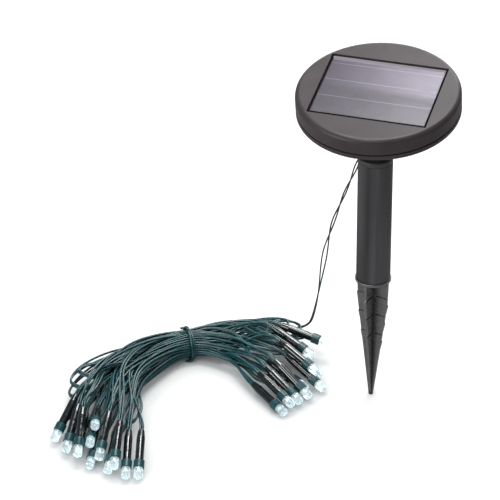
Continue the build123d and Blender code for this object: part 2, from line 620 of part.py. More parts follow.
# --- switch, board and gland ---------------------------------------------------------------------
def switch_body():
    middle = SWITCH_U + SWITCH_TRAVEL / 2
    body = block(SWITCH_LENGTH, SWITCH_WIDTH, BULGE_INSIDE, BULGE_INSIDE + SWITCH_HEIGHT, (middle, SWITCH_V))
    body -= block(
        SLIDER_SLOT_LENGTH, SLIDER_SLOT_WIDTH, BULGE_INSIDE, BULGE_INSIDE + SLIDER_SEAT, (middle, SWITCH_V)
    )
    well_bottom = BULGE_INSIDE + SLIDER_SEAT
    well_top = well_bottom + SLIDER_FLANGE_HEIGHT + 2 * SLIDER_CLEARANCE
    well_length = SLIDER_SLOT_LENGTH + 2 * SLIDER_FLANGE
    well_width = SLIDER_SLOT_WIDTH + 2 * SLIDER_FLANGE
    body -= block(well_length, well_width, well_bottom, well_top, (middle, SWITCH_V))
    pin_bottom = BULGE_INSIDE + SWITCH_HEIGHT
    for pin in (-1, 0, 1):
        place = (middle + pin * SWITCH_PIN_PITCH, SWITCH_V)
        body += upright(SWITCH_PIN_RADIUS, pin_bottom, pin_bottom + SWITCH_PIN_LENGTH, place)
    return on_head(body)


def switch_slider():
    place = (SWITCH_U, SWITCH_V)
    foot_bottom = BULGE_INSIDE + SLIDER_SEAT + SLIDER_CLEARANCE
    stem = block(SLIDER_LENGTH, SLIDER_WIDTH, BULGE_BOTTOM - SLIDER_STAND_OUT, foot_bottom, place)
    foot_length = SLIDER_LENGTH + 2 * SLIDER_FLANGE
    foot_width = SLIDER_WIDTH + 2 * SLIDER_FLANGE
    stem += block(foot_length, foot_width, foot_bottom, foot_bottom + SLIDER_FLANGE_HEIGHT, place)
    for notch in (-1, 0, 1):
        place = Pos(SWITCH_U + notch * SLIDER_NOTCH_PITCH, SWITCH_V, BULGE_BOTTOM - SLIDER_STAND_OUT)
        stem -= place * Rot(0, 45, 0) * Box(SLIDER_NOTCH, SLIDER_WIDTH, SLIDER_NOTCH)
    return on_head(stem)


def on_board(offset):
    return (BOARD_U + offset[0], BOARD_V + offset[1])


def circuit_board():
    """Boost and charge board on its two posts, with its chip, coil and capacitor."""
    bottom = BULGE_INSIDE + BOARD_POST_HEIGHT
    top = bottom + BOARD_THICKNESS
    body = block(BOARD_LENGTH, BOARD_WIDTH, bottom, top, (BOARD_U, BOARD_V))
    length, width, height = BOARD_CHIP
    body += block(length, width, top, top + height, on_board(BOARD_CHIP_AT))
    body += upright(BOARD_COIL_RADIUS, top, top + BOARD_COIL_HEIGHT, on_board(BOARD_COIL_AT))
    body += upright(BOARD_CAPACITOR_RADIUS, top, top + BOARD_CAPACITOR_HEIGHT, on_board(BOARD_CAPACITOR_AT))
    return on_head(body)


def cable_gland():
    flange_bottom = BULGE_BOTTOM - GLAND_FLANGE_HEIGHT
    tip = flange_bottom - GLAND_TAIL_LENGTH
    profile = [
        (0, tip),
        (GLAND_TIP_RADIUS, tip),
        (GLAND_NECK_RADIUS, flange_bottom),
        (GLAND_FLANGE_RADIUS, flange_bottom),
        (GLAND_FLANGE_RADIUS, BULGE_BOTTOM),
        (GLAND_NECK_RADIUS, BULGE_BOTTOM),
        (GLAND_NECK_RADIUS, BULGE_INSIDE),
        (GLAND_LIP_RADIUS, BULGE_INSIDE),
        (GLAND_NECK_RADIUS, BULGE_INSIDE + GLAND_LIP_HEIGHT),
        (0, BULGE_INSIDE + GLAND_LIP_HEIGHT),
    ]
    return on_head(Pos(GLAND_U, GLAND_V, 0) * turned(profile))


# --- LED string ----------------------------------------------------------------------------------
def led_frame(seat):
    """Location whose origin is the lens tip and whose +Z points out of the lens."""
    x, y, z, heading, dip = seat
    h = math.radians(heading)
    d = math.radians(dip)
    out = Vector(math.cos(h) * math.cos(d), math.sin(h) * math.cos(d), -math.sin(d))
    return Plane(origin=(x, y, z), z_dir=out).location


def led_lens():
    """Clear LED body with a hollow cone in its tip for a wide beam."""
    return turned([
        (0, -LENS_CONE_DEPTH),
        (LENS_CONE_RADIUS, 0),
        (LENS_RADIUS - LENS_EDGE, 0),
        (LENS_RADIUS, -LENS_EDGE),
        (LENS_RADIUS, -LENS_LENGTH),
        (0, -LENS_LENGTH),
    ])


def led_socket():
    """Moulded collar round the LED's foot, with a tail for the sleeve."""
    bore = LENS_RADIUS + SOCKET_CLEARANCE
    bore_end = -LENS_LENGTH - SOCKET_CLEARANCE
    return turned([
        (0, bore_end),
        (bore, bore_end),
        (bore, -LENS_SHOWN),
        (SOCKET_RADIUS - LENS_EDGE, -LENS_SHOWN),
        (SOCKET_RADIUS, -LENS_SHOWN - LENS_EDGE),
        (SOCKET_RADIUS, -LED_REAR),
        (SOCKET_TAIL_RADIUS, -LED_REAR),
        (SOCKET_TAIL_RADIUS, -LED_REAR - SOCKET_TAIL_LENGTH),
        (0, -LED_REAR - SOCKET_TAIL_LENGTH),
    ])


def led_sleeve():
    """Shrink sleeve over the wire joints, necked down at its back end."""
    bore = SOCKET_TAIL_RADIUS + SLEEVE_CLEARANCE
    bore_end = -LED_REAR - SOCKET_TAIL_LENGTH - SLEEVE_CLEARANCE
    return turned([
        (0, bore_end),
        (bore, bore_end),
        (bore, -LED_REAR),
        (SLEEVE_RADIUS, -LED_REAR),
        (SLEEVE_RADIUS, -LED_REAR - SLEEVE_LENGTH + SLEEVE_TAPER),
        (SLEEVE_END_RADIUS, -LED_REAR - SLEEVE_LENGTH),
        (0, -LED_REAR - SLEEVE_LENGTH),
    ])


def along_heading(heading):
    """Level direction of a heading, from +X towards +Y."""
    h = math.radians(heading)
    return Vector(math.cos(h), math.sin(h), 0)


def hank_plane(centre, heading):
    """Upright plane across the hank's run, with its x level."""
    return Plane(origin=centre, x_dir=along_heading(heading - 90), z_dir=along_heading(heading))


def hank_outline(width, height):
    """Rounded outline with the same small flats at every width, so that all sections match."""
    return RectangleRounded(width, height, min(width, height) / 2 - HANK_FLAT / 2)


def hank_section(centre, width, height, heading):
    return hank_plane(centre, heading) * hank_outline(width, height)


def waist_end(shift):
    centre = Vector(*WAIST_CENTRE) + along_heading(WAIST_HEADING) * shift
    return hank_section(centre, WAIST_WIDTH, WAIST_HEIGHT, WAIST_HEADING)


def wire_hank():
    """The bundled wires as one closed body, with a parallel waist under the tie."""
    left = [hank_section(*s) for s in HANK_LEFT] + [waist_end(-WAIST_LENGTH / 2)]
    right = [waist_end(WAIST_LENGTH / 2)] + [hank_section(*s) for s in HANK_RIGHT]
    body = extrude(waist_end(-WAIST_LENGTH / 2), WAIST_LENGTH, dir=along_heading(WAIST_HEADING))
    for sections in (left, right):
        for near, far in zip(sections, sections[1:]):
            body += loft([near, far], ruled=True)
    return body


def hank_tie():
    """Loop of wire drawn round the waist of the hank."""
    reach = 2 * (TIE_RADIUS + TIE_CLEARANCE)
    outline = hank_outline(WAIST_WIDTH + reach, WAIST_HEIGHT + reach)
    loop = (hank_plane(WAIST_CENTRE, WAIST_HEADING) * outline).face().outer_wire()
    start = Plane(origin=loop @ 0, z_dir=loop % 0)
    return sweep(start * Circle(TIE_RADIUS), path=loop)


def below_gland(run):
    """Point on the gland's axis, a run below the tip where the lead leaves it."""
    t = math.radians(HEAD_TILT)
    w = BULGE_BOTTOM - GLAND_FLANGE_HEIGHT - GLAND_TAIL_LENGTH - run
    y = GLAND_V * math.cos(t) - w * math.sin(t)
    z = HINGE_HEIGHT + GLAND_V * math.sin(t) + w * math.cos(t)
    return Vector(GLAND_U, y, z)


def route_radii(points):
    """A radius for each inner point of a route, as large as its two runs allow."""
    radii = []
    for before, at, after in zip(points, points[1:], points[2:]):
        turn = (at - before).get_angle(after - at)
        run = min((at - before).length, (after - at).length)
        radii.append(ARC_SHARE * run / math.tan(math.radians(turn) / 2))
    return radii


def lead_cable():
    points = [below_gland(0), below_gland(LEAD_FIRST_RUN)] + [Vector(*p) for p in LEAD_ROUTE]
    radii = route_radii(points)
    path = FilletPolyline(*points, radius=radii)
    start = Plane(origin=path @ 0, z_dir=path % 0)
    lead = sweep(start * Circle(LEAD_RADIUS), path=path)
    section = math.pi * LEAD_RADIUS**2
    print("lead radii", [round(r, 1) for r in radii])
    print("lead length", round(path.length, 1), "volume over section", round(lead.volume / section, 1))
    return lead


# --- build ---------------------------------------------------------------------------------------
def save(name, shape):
    export_step(shape, os.path.join("parts", name + ".step"))
    print(name, len(shape.solids()))


def main():
    os.makedirs("parts", exist_ok=True)
    for make in (
        ground_spike,
        stem_tube,
        stem_head,
        friction_washers,
        hinge_screw,
        hinge_nut,
        head_base,
        head_seal,
        head_top_cover,
        head_screws,
        panel_gasket,
        solar_cell_board,
        panel_glazing,
        battery_cell,
        battery_spring_contact,
        battery_plate_contact,
        battery_door,
        door_screw,
        switch_body,
        switch_slider,
        circuit_board,
        cable_gland,
        lead_cable,
        wire_hank,
        hank_tie,
    ):
        save(make.__name__, make())
    for side, seats in (("left", LEFT_LEDS), ("right", RIGHT_LEDS)):
        save("led_sockets_" + side, Compound(children=[led_frame(s) * led_socket() for s in seats]))
        save("led_sleeves_" + side, Compound(children=[led_frame(s) * led_sleeve() for s in seats]))
        for number, seat in enumerate(seats, 1):
            save(f"led_lens_{side}_{number:02d}", led_frame(seat) * led_lens())


main()
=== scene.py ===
"""Looks of a round solar head on a ground stake, with its string of lights tied in a hank.

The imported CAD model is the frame. This script dresses its nodes with finishes, makes the lead, the
hank of wire and the tie's second turn, puts a metal core into each clear lens, and sets the floor,
the lamps and the camera. Sizes are in millimetres in the classes, and become metres where a mesh
or a shader takes them.
"""

import logging
import math
import random
from dataclasses import dataclass, field
from enum import Enum

import bpy
from mathutils import Matrix, Vector


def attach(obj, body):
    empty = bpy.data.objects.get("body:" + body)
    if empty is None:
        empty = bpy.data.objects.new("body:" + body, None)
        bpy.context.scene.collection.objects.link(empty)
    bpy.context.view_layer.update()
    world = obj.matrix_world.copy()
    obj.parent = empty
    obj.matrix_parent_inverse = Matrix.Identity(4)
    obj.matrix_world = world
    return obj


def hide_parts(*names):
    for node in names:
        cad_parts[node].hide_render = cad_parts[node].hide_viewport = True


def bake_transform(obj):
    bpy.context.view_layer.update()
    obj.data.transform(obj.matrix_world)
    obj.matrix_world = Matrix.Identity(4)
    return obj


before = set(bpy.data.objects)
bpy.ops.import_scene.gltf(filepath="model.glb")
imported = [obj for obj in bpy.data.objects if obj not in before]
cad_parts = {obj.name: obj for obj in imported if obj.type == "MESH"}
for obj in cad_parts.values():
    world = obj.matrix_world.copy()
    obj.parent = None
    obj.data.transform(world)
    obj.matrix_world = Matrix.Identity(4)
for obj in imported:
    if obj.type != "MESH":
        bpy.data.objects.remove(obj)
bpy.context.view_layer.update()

MM = 0.001
LOG = logging.getLogger("solar_string_lights")

Tree, Node, Socket = bpy.types.NodeTree, bpy.types.Node, bpy.types.NodeSocket
Line = list[Vector]
Triple = tuple[float, float, float]
Quad = tuple[float, float, float, float]
Stops = list[tuple[float, Quad]] | tuple[()]  # place and linear colour of each stop of a ramp
Lane = tuple[float, float]  # across and up in the hank, each -1 to 1 from edge to edge
Slot = tuple[Lane, float]  # a pair's lane at the waist, and the angle at which its two wires lie
Fold = tuple[int, float, float, float, float]  # cut, two lanes across, lane up, reach past the cut
Pairs = list[tuple[Vector, Vector]]  # control points, and half the way from one wire to the other


# ---------------------------------------------------------------- small helpers


def linear(code: str, share: float = 1.0) -> Quad:
    """Turn an sRGB hex colour into the linear colour that a shader takes.

    Args:
        code: six hex digits.
        share: how much of its light is kept; more than 1 brightens it, at most to white.

    Returns:
        Linear red, green and blue, and an alpha of 1.
    """
    parts = [int(code[i : i + 2], 16) / 255 for i in (0, 2, 4)]
    bent = [c / 12.92 if c <= 0.04045 else ((c + 0.055) / 1.055) ** 2.4 for c in parts]
    return (*(min(1.0, c * share) for c in bent), 1.0)


def scale(size_mm: float) -> float:
    """The scale at which a pattern has this size."""
    return 1 / (size_mm * MM)


def add(tree: Tree, kind: str, values: dict | None = None, stops: Stops = (), **settings) -> Node:
    """Add one node, with its settings, socket values and links.

    Args:
        tree: the node tree that takes it.
        kind: the node's type name.
        values: socket name or number to a number, a colour, an output socket, or a node whose
            first live output is meant.
        stops: the stops of a colour ramp.
        **settings: properties of the node itself.

    Returns:
        The new node.
    """
    node = tree.nodes.new(kind)
    for key, value in settings.items():
        setattr(node, key, value)
    for key, value in (values or {}).items():
        if isinstance(value, Node):
            value = next(socket for socket in value.outputs if socket.enabled)
        if isinstance(value, Socket):
            tree.links.new(value, node.inputs[key])
        else:
            node.inputs[key].default_value = value
    for number, (place, colour) in enumerate(stops):
        band = node.color_ramp.elements
        stop = band[number] if number < len(band) else band.new(1.0)
        stop.position, stop.color = place, colour
    return node


def start_material(name: str) -> tuple[bpy.types.Material, Tree, Socket]:
    """Begin a node material.

    Args:
        name: the finish's name.

    Returns:
        The material, its empty node tree, and the object's own coordinates in it.
    """
    material = bpy.data.materials.new(name)
    material.use_nodes = True
    tree = material.node_tree
    tree.nodes.clear()
    return material, tree, add(tree, "ShaderNodeTexCoord").outputs["Object"]


def deselect() -> None:
    """Leave nothing selected."""
    for thing in bpy.context.selected_objects:
        thing.select_set(False)


# ---------------------------------------------------------------- finishes


def paint_nook_shade(tree: Tree, colour: Node, reach_mm: float, dark: str, ends: tuple[float, float]) -> Node:
    """Add nodes that paint shade into a colour where other faces stand near.

    Args:
        tree: the node tree that takes them.
        colour: the node that gives the colour.
        reach_mm: how near the other faces must be.
        dark: sRGB hex of the darkest share that is kept.
        ends: open shares at which the darkening is full and at which it ends.

    Returns:
        The node that gives the colour with its painted shade.
    """
    nook = add(tree, "ShaderNodeAmbientOcclusion", {"Distance": reach_mm * MM}, samples=8)
    stops = [(ends[0], linear(dark)), (ends[1], linear("FFFFFF"))]
    shade = add(tree, "ShaderNodeValToRGB", {"Fac": nook.outputs["AO"]}, stops)
    return add(tree, "ShaderNodeMix", {0: 1.0, 6: colour, 7: shade}, data_type="RGBA", blend_type="MULTIPLY")


@dataclass(frozen=True)
class Finish:
    """A finish that makes its own material.

    Attributes:
        name: the material's name.
    """

    name: str

    def build(self) -> bpy.types.Material:
        """Make the material; each finish has its own way."""
        raise NotImplementedError(self.name)


@dataclass(frozen=True)
class MouldedPlastic(Finish):
    """Injection-moulded plastic with a spark-eroded skin.

    The skin breaks up the gloss into a soft sheen, the colour drifts a little where the melt
    cooled, and handling leaves slightly shinier patches.

    Attributes:
        colour: sRGB hex of the plastic.
        roughness: middle roughness of the skin.
        drift: how far the colour moves either way, as a share.
        patch_mm: size of the colour's patches.
        grain_mm: size of the skin's grain, drawn no finer than shows.
        relief_mm: depth of the grain.
        handled: how far the roughness moves between touched and untouched places.
        gloss: how strongly the surface mirrors, 0.5 for a plain moulding.
        coat: weight of a second, smoother gloss, as polished moulds leave.
        shade_reach_mm: how near other faces must be for the colour to take painted shade in a corner, or 0
            for none.
        streak: how many times longer a colour patch is along Z, as a die leaves on an extrusion; where the
            drift is strong, the streaks are also painted sheen.
        touch: size of a handled patch, as a multiple of a colour patch.
    """

    colour: str
    roughness: float
    drift: float = 0.08
    patch_mm: float = 14.0
    grain_mm: float = 0.9
    relief_mm: float = 0.02
    handled: float = 0.08
    gloss: float = 0.5
    coat: float = 0.0
    shade_reach_mm: float = 0.0
    streak: float = 1.0
    touch: float = 2.2

    def build(self) -> bpy.types.Material:
        """Make the material.

        Returns:
            The material.
        """
        material, tree, place = start_material(self.name)
        drawn = add(tree, "ShaderNodeMapping", {"Vector": place, "Scale": (1.0, 1.0, 1 / self.streak)})
        fine = {"Vector": drawn, "Scale": scale(self.patch_mm), "Detail": 3.0}
        patch = add(tree, "ShaderNodeTexNoise", fine)
        stops = [(0.35, linear(self.colour, 1 - self.drift)), (0.65, linear(self.colour, 1 + self.drift))]
        colour = add(tree, "ShaderNodeValToRGB", {"Fac": patch}, stops)
        # Painted shade: the colour darkens in corners and grooves where other faces stand near.
        if self.shade_reach_mm:
            colour = paint_nook_shade(tree, colour, self.shade_reach_mm, "161616", (0.42, 0.88))
        broad = {"Vector": place, "Scale": scale(self.patch_mm * self.touch), "Detail": 5.0}
        touched = add(tree, "ShaderNodeTexNoise", broad)
        low, high = self.roughness - self.handled, self.roughness + self.handled
        rough = add(tree, "ShaderNodeMapRange", {0: touched, 1: 0.35, 2: 0.65, 3: low, 4: high})
        grain = add(tree, "ShaderNodeTexVoronoi", {"Vector": place, "Scale": scale(self.grain_mm)})
        skin = {"Height": grain, "Strength": 0.6, "Distance": self.relief_mm * MM}
        shader = add(tree, "ShaderNodeBsdfPrincipled", {
            "Base Color": colour, "Roughness": rough, "Normal": add(tree, "ShaderNodeBump", skin),
            "IOR": 1.5, "Specular IOR Level": self.gloss,
            "Coat Weight": self.coat, "Coat Roughness": 0.25,
        })
        add(tree, "ShaderNodeOutputMaterial", {"Surface": shader})
        return material


@dataclass(frozen=True)
class ExtrudedVinyl(Finish):
    """Soft PVC wire cover, extruded: a smooth, faintly streaked skin with a long soft highlight.

    Attributes:
        colour: sRGB hex of the cover.
        roughness: middle roughness.
        streak_mm: length of the streaks.
        shade_reach_mm: how near other wires must be for the cover to take painted shade.
        skin_mm: spacing of the dimples in the skin.
    """

    colour: str
    roughness: float
    streak_mm: float = 9.0
    shade_reach_mm: float = 4.0
    skin_mm: float = 0.8

    def build(self) -> bpy.types.Material:
        """Make the material.

        Returns:
            The material.
        """
        material, tree, place = start_material(self.name)
        long = {"Vector": place, "Scale": scale(self.streak_mm), "Detail": 4.0}
        streak = add(tree, "ShaderNodeTexNoise", long)
        stops = [(0.35, linear(self.colour, 0.75)), (0.65, linear(self.colour, 1.25))]
        colour = add(tree, "ShaderNodeValToRGB", {"Fac": streak}, stops)
        low, high = self.roughness - 0.06, self.roughness + 0.08
        rough = add(tree, "ShaderNodeMapRange", {0: streak, 1: 0.3, 2: 0.7, 3: low, 4: high})
        soft = {"Vector": place, "Scale": scale(self.skin_mm), "Detail": 2.0}
        skin = add(tree, "ShaderNodeTexNoise", soft)
        bump = add(tree, "ShaderNodeBump", {"Height": skin, "Strength": 0.3, "Distance": 0.02 * MM})
        # The base colour carries painted shade where other wires lie near.
        shader = add(tree, "ShaderNodeBsdfPrincipled", {
            "Base Color": paint_nook_shade(tree, colour, self.shade_reach_mm, "3A3A3A", (0.15, 0.6)),
            "Roughness": rough, "Normal": bump, "IOR": 1.53, "Coat Weight": 0.4, "Coat Roughness": 0.2,
        })
        add(tree, "ShaderNodeOutputMaterial", {"Surface": shader})
        return material


@dataclass(frozen=True)
class ShrunkSleeve(Finish):
    """Heat-shrunk polyolefin sleeve: near black and glossy, with shallow waves where it gripped.

    Attributes:
        colour: sRGB hex of the sleeve.
        roughness: roughness of the glossy skin.
        wave_mm: spacing of the waves along and around it.
    """

    colour: str
    roughness: float
    wave_mm: float = 4.0

    def build(self) -> bpy.types.Material:
        """Make the material.

        Returns:
            The material.
        """
        material, tree, place = start_material(self.name)
        soft = {"Vector": place, "Scale": scale(self.wave_mm), "Detail": 1.5}
        wave = add(tree, "ShaderNodeTexNoise", soft)
        stops = [(0.4, linear(self.colour)), (0.7, linear(self.colour, 1.5))]
        low, high = self.roughness - 0.05, self.roughness + 0.1
        rough = add(tree, "ShaderNodeMapRange", {0: wave, 1: 0.3, 2: 0.7, 3: low, 4: high})
        shader = add(tree, "ShaderNodeBsdfPrincipled", {
            "Base Color": add(tree, "ShaderNodeValToRGB", {"Fac": wave}, stops), "Roughness": rough,
            "Normal": add(tree, "ShaderNodeBump", {"Height": wave, "Strength": 0.5, "Distance": 0.25 * MM}),
            "IOR": 1.5, "Coat Weight": 1.0, "Coat Roughness": 0.12,
        })
        add(tree, "ShaderNodeOutputMaterial", {"Surface": shader})
        return material


@dataclass(frozen=True)
class CastEpoxy(Finish):
    """Water-clear cast epoxy, lit from inside: bright and icy, with darker glints at its edges.

    Attributes:
        tint: sRGB hex of the clear body.
        glow: sRGB hex of the light that fills it.
        strength: how strongly it glows.
        cloud_mm: spacing of the brighter and dimmer places in it.
    """

    tint: str
    glow: str
    strength: float
    cloud_mm: float = 2.2

    def build(self) -> bpy.types.Material:
        """Make the material.

        Returns:
            The material.
        """
        material, tree, place = start_material(self.name)
        soft = {"Vector": place, "Scale": scale(self.cloud_mm), "Detail": 2.0}
        cloud = add(tree, "ShaderNodeTexNoise", soft)
        stops = [(0.38, linear(self.glow, 0.55)), (0.62, linear(self.glow))]
        rough = add(tree, "ShaderNodeMapRange", {0: cloud, 1: 0.3, 2: 0.7, 3: 0.02, 4: 0.1})
        shader = add(tree, "ShaderNodeBsdfPrincipled", {
            "Base Color": linear(self.tint), "Roughness": rough, "IOR": 1.53, "Transmission Weight": 0.95,
            "Emission Color": add(tree, "ShaderNodeValToRGB", {"Fac": cloud}, stops),
            "Emission Strength": self.strength,
        })
        add(tree, "ShaderNodeOutputMaterial", {"Surface": shader})
        return material


@dataclass(frozen=True)
class PanelPlace:
    """Where the panel lies, so that a finish can be drawn from the panel's edges.

    Attributes:
        hinge_mm: height of the head's own zero above the floor.
        back_mm: the panel's middle behind the hinge, in the head's plane.
        tilt: the head's lean, degrees.
        size_mm: the panel's length and width.
    """

    hinge_mm: float = 172.2
    back_mm: float = 8.6
    tilt: float = 9.6
    size_mm: tuple[float, float] = (68.0, 55.0)

    def flat(self, tree: Tree, place: Socket) -> Node:
        """Add a node that turns a place into the head's own plane.

        Args:
            tree: the node tree that takes it.
            place: the object's own coordinates.

        Returns:
            The node that gives the head's coordinates.
        """
        values = {"Vector": place, "Location": (0.0, 0.0, self.hinge_mm * MM)}
        values["Rotation"] = (math.radians(self.tilt), 0.0, 0.0)
        return add(tree, "ShaderNodeMapping", values, vector_type="TEXTURE")

    def margin(self, tree: Tree, axes: Node, widths: Quad) -> Node:
        """Add nodes that give 1 on a margin along the panel's edges and 0 inside it.

        Args:
            tree: the node tree that takes them.
            axes: the node with the head's own coordinates.
            widths: the margin's width on the left, the right, the near and the far edge, mm.

        Returns:
            The node that gives the mask.
        """
        long_side, short_side = self.size_mm
        left, right, near, far = widths
        mask = None
        for axis, limit, side in (
            ("X", (left - long_side / 2) * MM, "LESS_THAN"),
            ("X", (long_side / 2 - right) * MM, "GREATER_THAN"),
            ("Y", (self.back_mm - short_side / 2 + near) * MM, "LESS_THAN"),
            ("Y", (self.back_mm + short_side / 2 - far) * MM, "GREATER_THAN"),
        ):
            past = add(tree, "ShaderNodeMath", {0: axes.outputs[axis], 1: limit}, operation=side)
            both = {0: mask, 1: past}
            mask = past if mask is None else add(tree, "ShaderNodeMath", both, operation="MAXIMUM")
        return mask


@dataclass(frozen=True)
class ClearSheet(Finish):
    """Cut polycarbonate sheet: clear, with rub marks, and a near-black rim of painted shade where the gap
    round it lies in shadow.

    Light passes it straight on its way to the laminate under it, which carries the gloss of both.

    Attributes:
        tint: sRGB hex of the sheet.
        roughness: roughness of the sheet itself.
        marks_mm: spacing of the rub marks.
        where: where the sheet lies.
        shade_rim_mm: width of the rim of painted shade on the left, the right, the near and the far edge.
        gap_shade: sRGB hex of that painted shade.
        tape_mm: width of the tinned ribbon that shows along the far edge.
        ribbon: sRGB hex of that ribbon.
    """

    tint: str
    roughness: float
    marks_mm: float = 5.0
    where: PanelPlace = PanelPlace()
    shade_rim_mm: Quad = (0.5, 0.8, 1.7, 0.4)
    gap_shade: str = "141315"
    tape_mm: float = 2.2
    ribbon: str = "7E7A7F"

    def build(self) -> bpy.types.Material:
        """Make the material.

        Returns:
            The material.
        """
        material, tree, place = start_material(self.name)
        soft = {"Vector": place, "Scale": scale(self.marks_mm), "Detail": 6.0}
        marks = add(tree, "ShaderNodeTexNoise", soft)
        axes = add(tree, "ShaderNodeSeparateXYZ", {"Vector": self.where.flat(tree, place)})
        rim = self.where.margin(tree, axes, self.shade_rim_mm)
        tape = self.where.margin(tree, axes, (-1.0, -1.0, -1.0, self.tape_mm))
        closed = add(tree, "ShaderNodeMath", {0: rim, 1: tape}, operation="MAXIMUM")
        clear = add(tree, "ShaderNodeMath", {0: 1.0, 1: closed}, operation="SUBTRACT")
        colour = linear(self.tint)
        # The ribbon is the tape's own colour; the rim is painted shade, an opaque near-black band where the
        # gap round the sheet lies in shadow.
        for mask, code in ((tape, self.ribbon), (rim, self.gap_shade)):
            colour = add(tree, "ShaderNodeMix", {0: mask, 6: colour, 7: linear(code)}, data_type="RGBA")
        shader = add(tree, "ShaderNodeBsdfPrincipled", {
            "Base Color": colour, "Transmission Weight": clear, "Roughness": self.roughness,
            "Normal": add(tree, "ShaderNodeBump", {"Height": marks, "Strength": 0.2, "Distance": 0.02 * MM}),
            "IOR": 1.04, "Specular IOR Level": 0.0,
        })
        rays = add(tree, "ShaderNodeLightPath")
        through = add(tree, "ShaderNodeBsdfTransparent", {"Color": linear(self.tint)})
        both = add(tree, "ShaderNodeMixShader", {0: rays.outputs["Is Camera Ray"], 1: through, 2: shader})
        add(tree, "ShaderNodeOutputMaterial", {"Surface": both})
        return material


@dataclass(frozen=True)
class SiliconCells(Finish):
    """Polycrystalline silicon under a hazy laminate: violet-grey, with pale bus bars and fingers.

    The strips lie along the panel's long side. Each pair is parted by a thin pale line, a wider
    bus bar runs along the far edge, and fine silver fingers cross them.

    Attributes:
        cell: sRGB hex of the silicon.
        crystal: sRGB hex of its lighter crystals.
        silver: sRGB hex of the printed lines.
        where: where the panel lies.
        strip_mm: width of one strip.
        line_mm: width of a pale line.
        first_line: the first line's place from the far edge, as a share of the panel's width.
        bus_mm: where the bus bar starts and ends, from the far edge.
        finger_mm: spacing and width of the fingers, drawn coarser than real ones so that they show.
        crystal_mm: size of the crystals.
        cover: how much of the silver shows on the fingers, the lines and the bus bar.
        margins_mm: the bare board left of, right of, before and behind the cells.
        border: sRGB hex of the bare board.
        haze: roughness of the laminate's gloss.
        film: how strongly the laminate mirrors, as the film's refractive index.
    """

    cell: str
    crystal: str
    silver: str
    where: PanelPlace = PanelPlace()
    strip_mm: float = 15.4
    line_mm: float = 0.55
    first_line: float = 0.096
    bus_mm: tuple[float, float] = (0.3, 2.4)
    finger_mm: tuple[float, float] = (2.0, 0.28)
    crystal_mm: float = 5.0
    cover: Triple = (0.05, 0.32, 0.3)
    margins_mm: Quad = (0.5, 1.9, 3.9, 0.3)
    border: str = "17161A"
    haze: float = 0.28
    film: float = 2.1

    def build(self) -> bpy.types.Material:
        """Make the material.

        Returns:
            The material.
        """
        material, tree, place = start_material(self.name)
        flat = self.where.flat(tree, place)
        axes = add(tree, "ShaderNodeSeparateXYZ", {"Vector": flat})
        width = self.where.size_mm[1]
        edge = (self.where.back_mm + width / 2) * MM
        from_far = add(tree, "ShaderNodeMath", {0: edge, 1: axes.outputs["Y"]}, operation="SUBTRACT")
        fingers = self.stripes(tree, axes.outputs["X"], 0.0, *self.finger_mm)
        lines = self.stripes(tree, from_far, self.first_line * width, self.strip_mm, self.line_mm)
        start, end = (b * MM for b in self.bus_mm)
        after = add(tree, "ShaderNodeMath", {0: from_far, 1: start}, operation="GREATER_THAN")
        before = add(tree, "ShaderNodeMath", {0: from_far, 1: end}, operation="LESS_THAN")
        bus = add(tree, "ShaderNodeMath", {0: after, 1: before}, operation="MULTIPLY")
        crystals = add(tree, "ShaderNodeTexVoronoi", {"Vector": flat, "Scale": scale(self.crystal_mm)})
        stops = [(0.2, linear(self.cell)), (0.9, linear(self.crystal))]
        colour = add(tree, "ShaderNodeValToRGB", {"Fac": crystals.outputs["Color"]}, stops)
        for mask, share in zip((fingers, lines, bus), self.cover):
            thin = add(tree, "ShaderNodeMath", {0: mask, 1: share}, operation="MULTIPLY")
            over = {0: thin, 6: colour, 7: linear(self.silver)}
            colour = add(tree, "ShaderNodeMix", over, data_type="RGBA")
        bare = self.where.margin(tree, axes, self.margins_mm)
        colour = add(tree, "ShaderNodeMix", {0: bare, 6: colour, 7: linear(self.border)}, data_type="RGBA")
        rough = add(tree, "ShaderNodeMapRange", {0: crystals, 1: 0.0, 2: 1.0, 3: 0.45, 4: 0.6})
        shader = add(tree, "ShaderNodeBsdfPrincipled", {
            "Base Color": colour, "Roughness": rough, "Specular IOR Level": 0.2,
            "Coat Weight": 1.0, "Coat Roughness": self.haze, "Coat IOR": self.film,
        })
        add(tree, "ShaderNodeOutputMaterial", {"Surface": shader})
        return material

    def stripes(
        self, tree: Tree, along: Node | Socket, start: float, spacing: float, width: float
    ) -> Node:
        """Add nodes that give 1 on evenly spaced stripes and 0 between them.

        Args:
            tree: the node tree that takes them.
            along: the coordinate across the stripes, in metres.
            start: a stripe's middle, mm.
            spacing: from one stripe to the next, mm.
            width: width of a stripe, mm.

        Returns:
            The node that gives the mask.
        """
        half = spacing * MM / 2
        moved = add(tree, "ShaderNodeMath", {0: along, 1: start * MM - half}, operation="SUBTRACT")
        turn = add(tree, "ShaderNodeMath", {0: moved, 1: spacing * MM}, operation="FLOORED_MODULO")
        off = add(tree, "ShaderNodeMath", {0: turn, 1: half}, operation="SUBTRACT")
        size = add(tree, "ShaderNodeMath", {0: off}, operation="ABSOLUTE")
        return add(tree, "ShaderNodeMath", {0: size, 1: width * MM / 2}, operation="LESS_THAN")


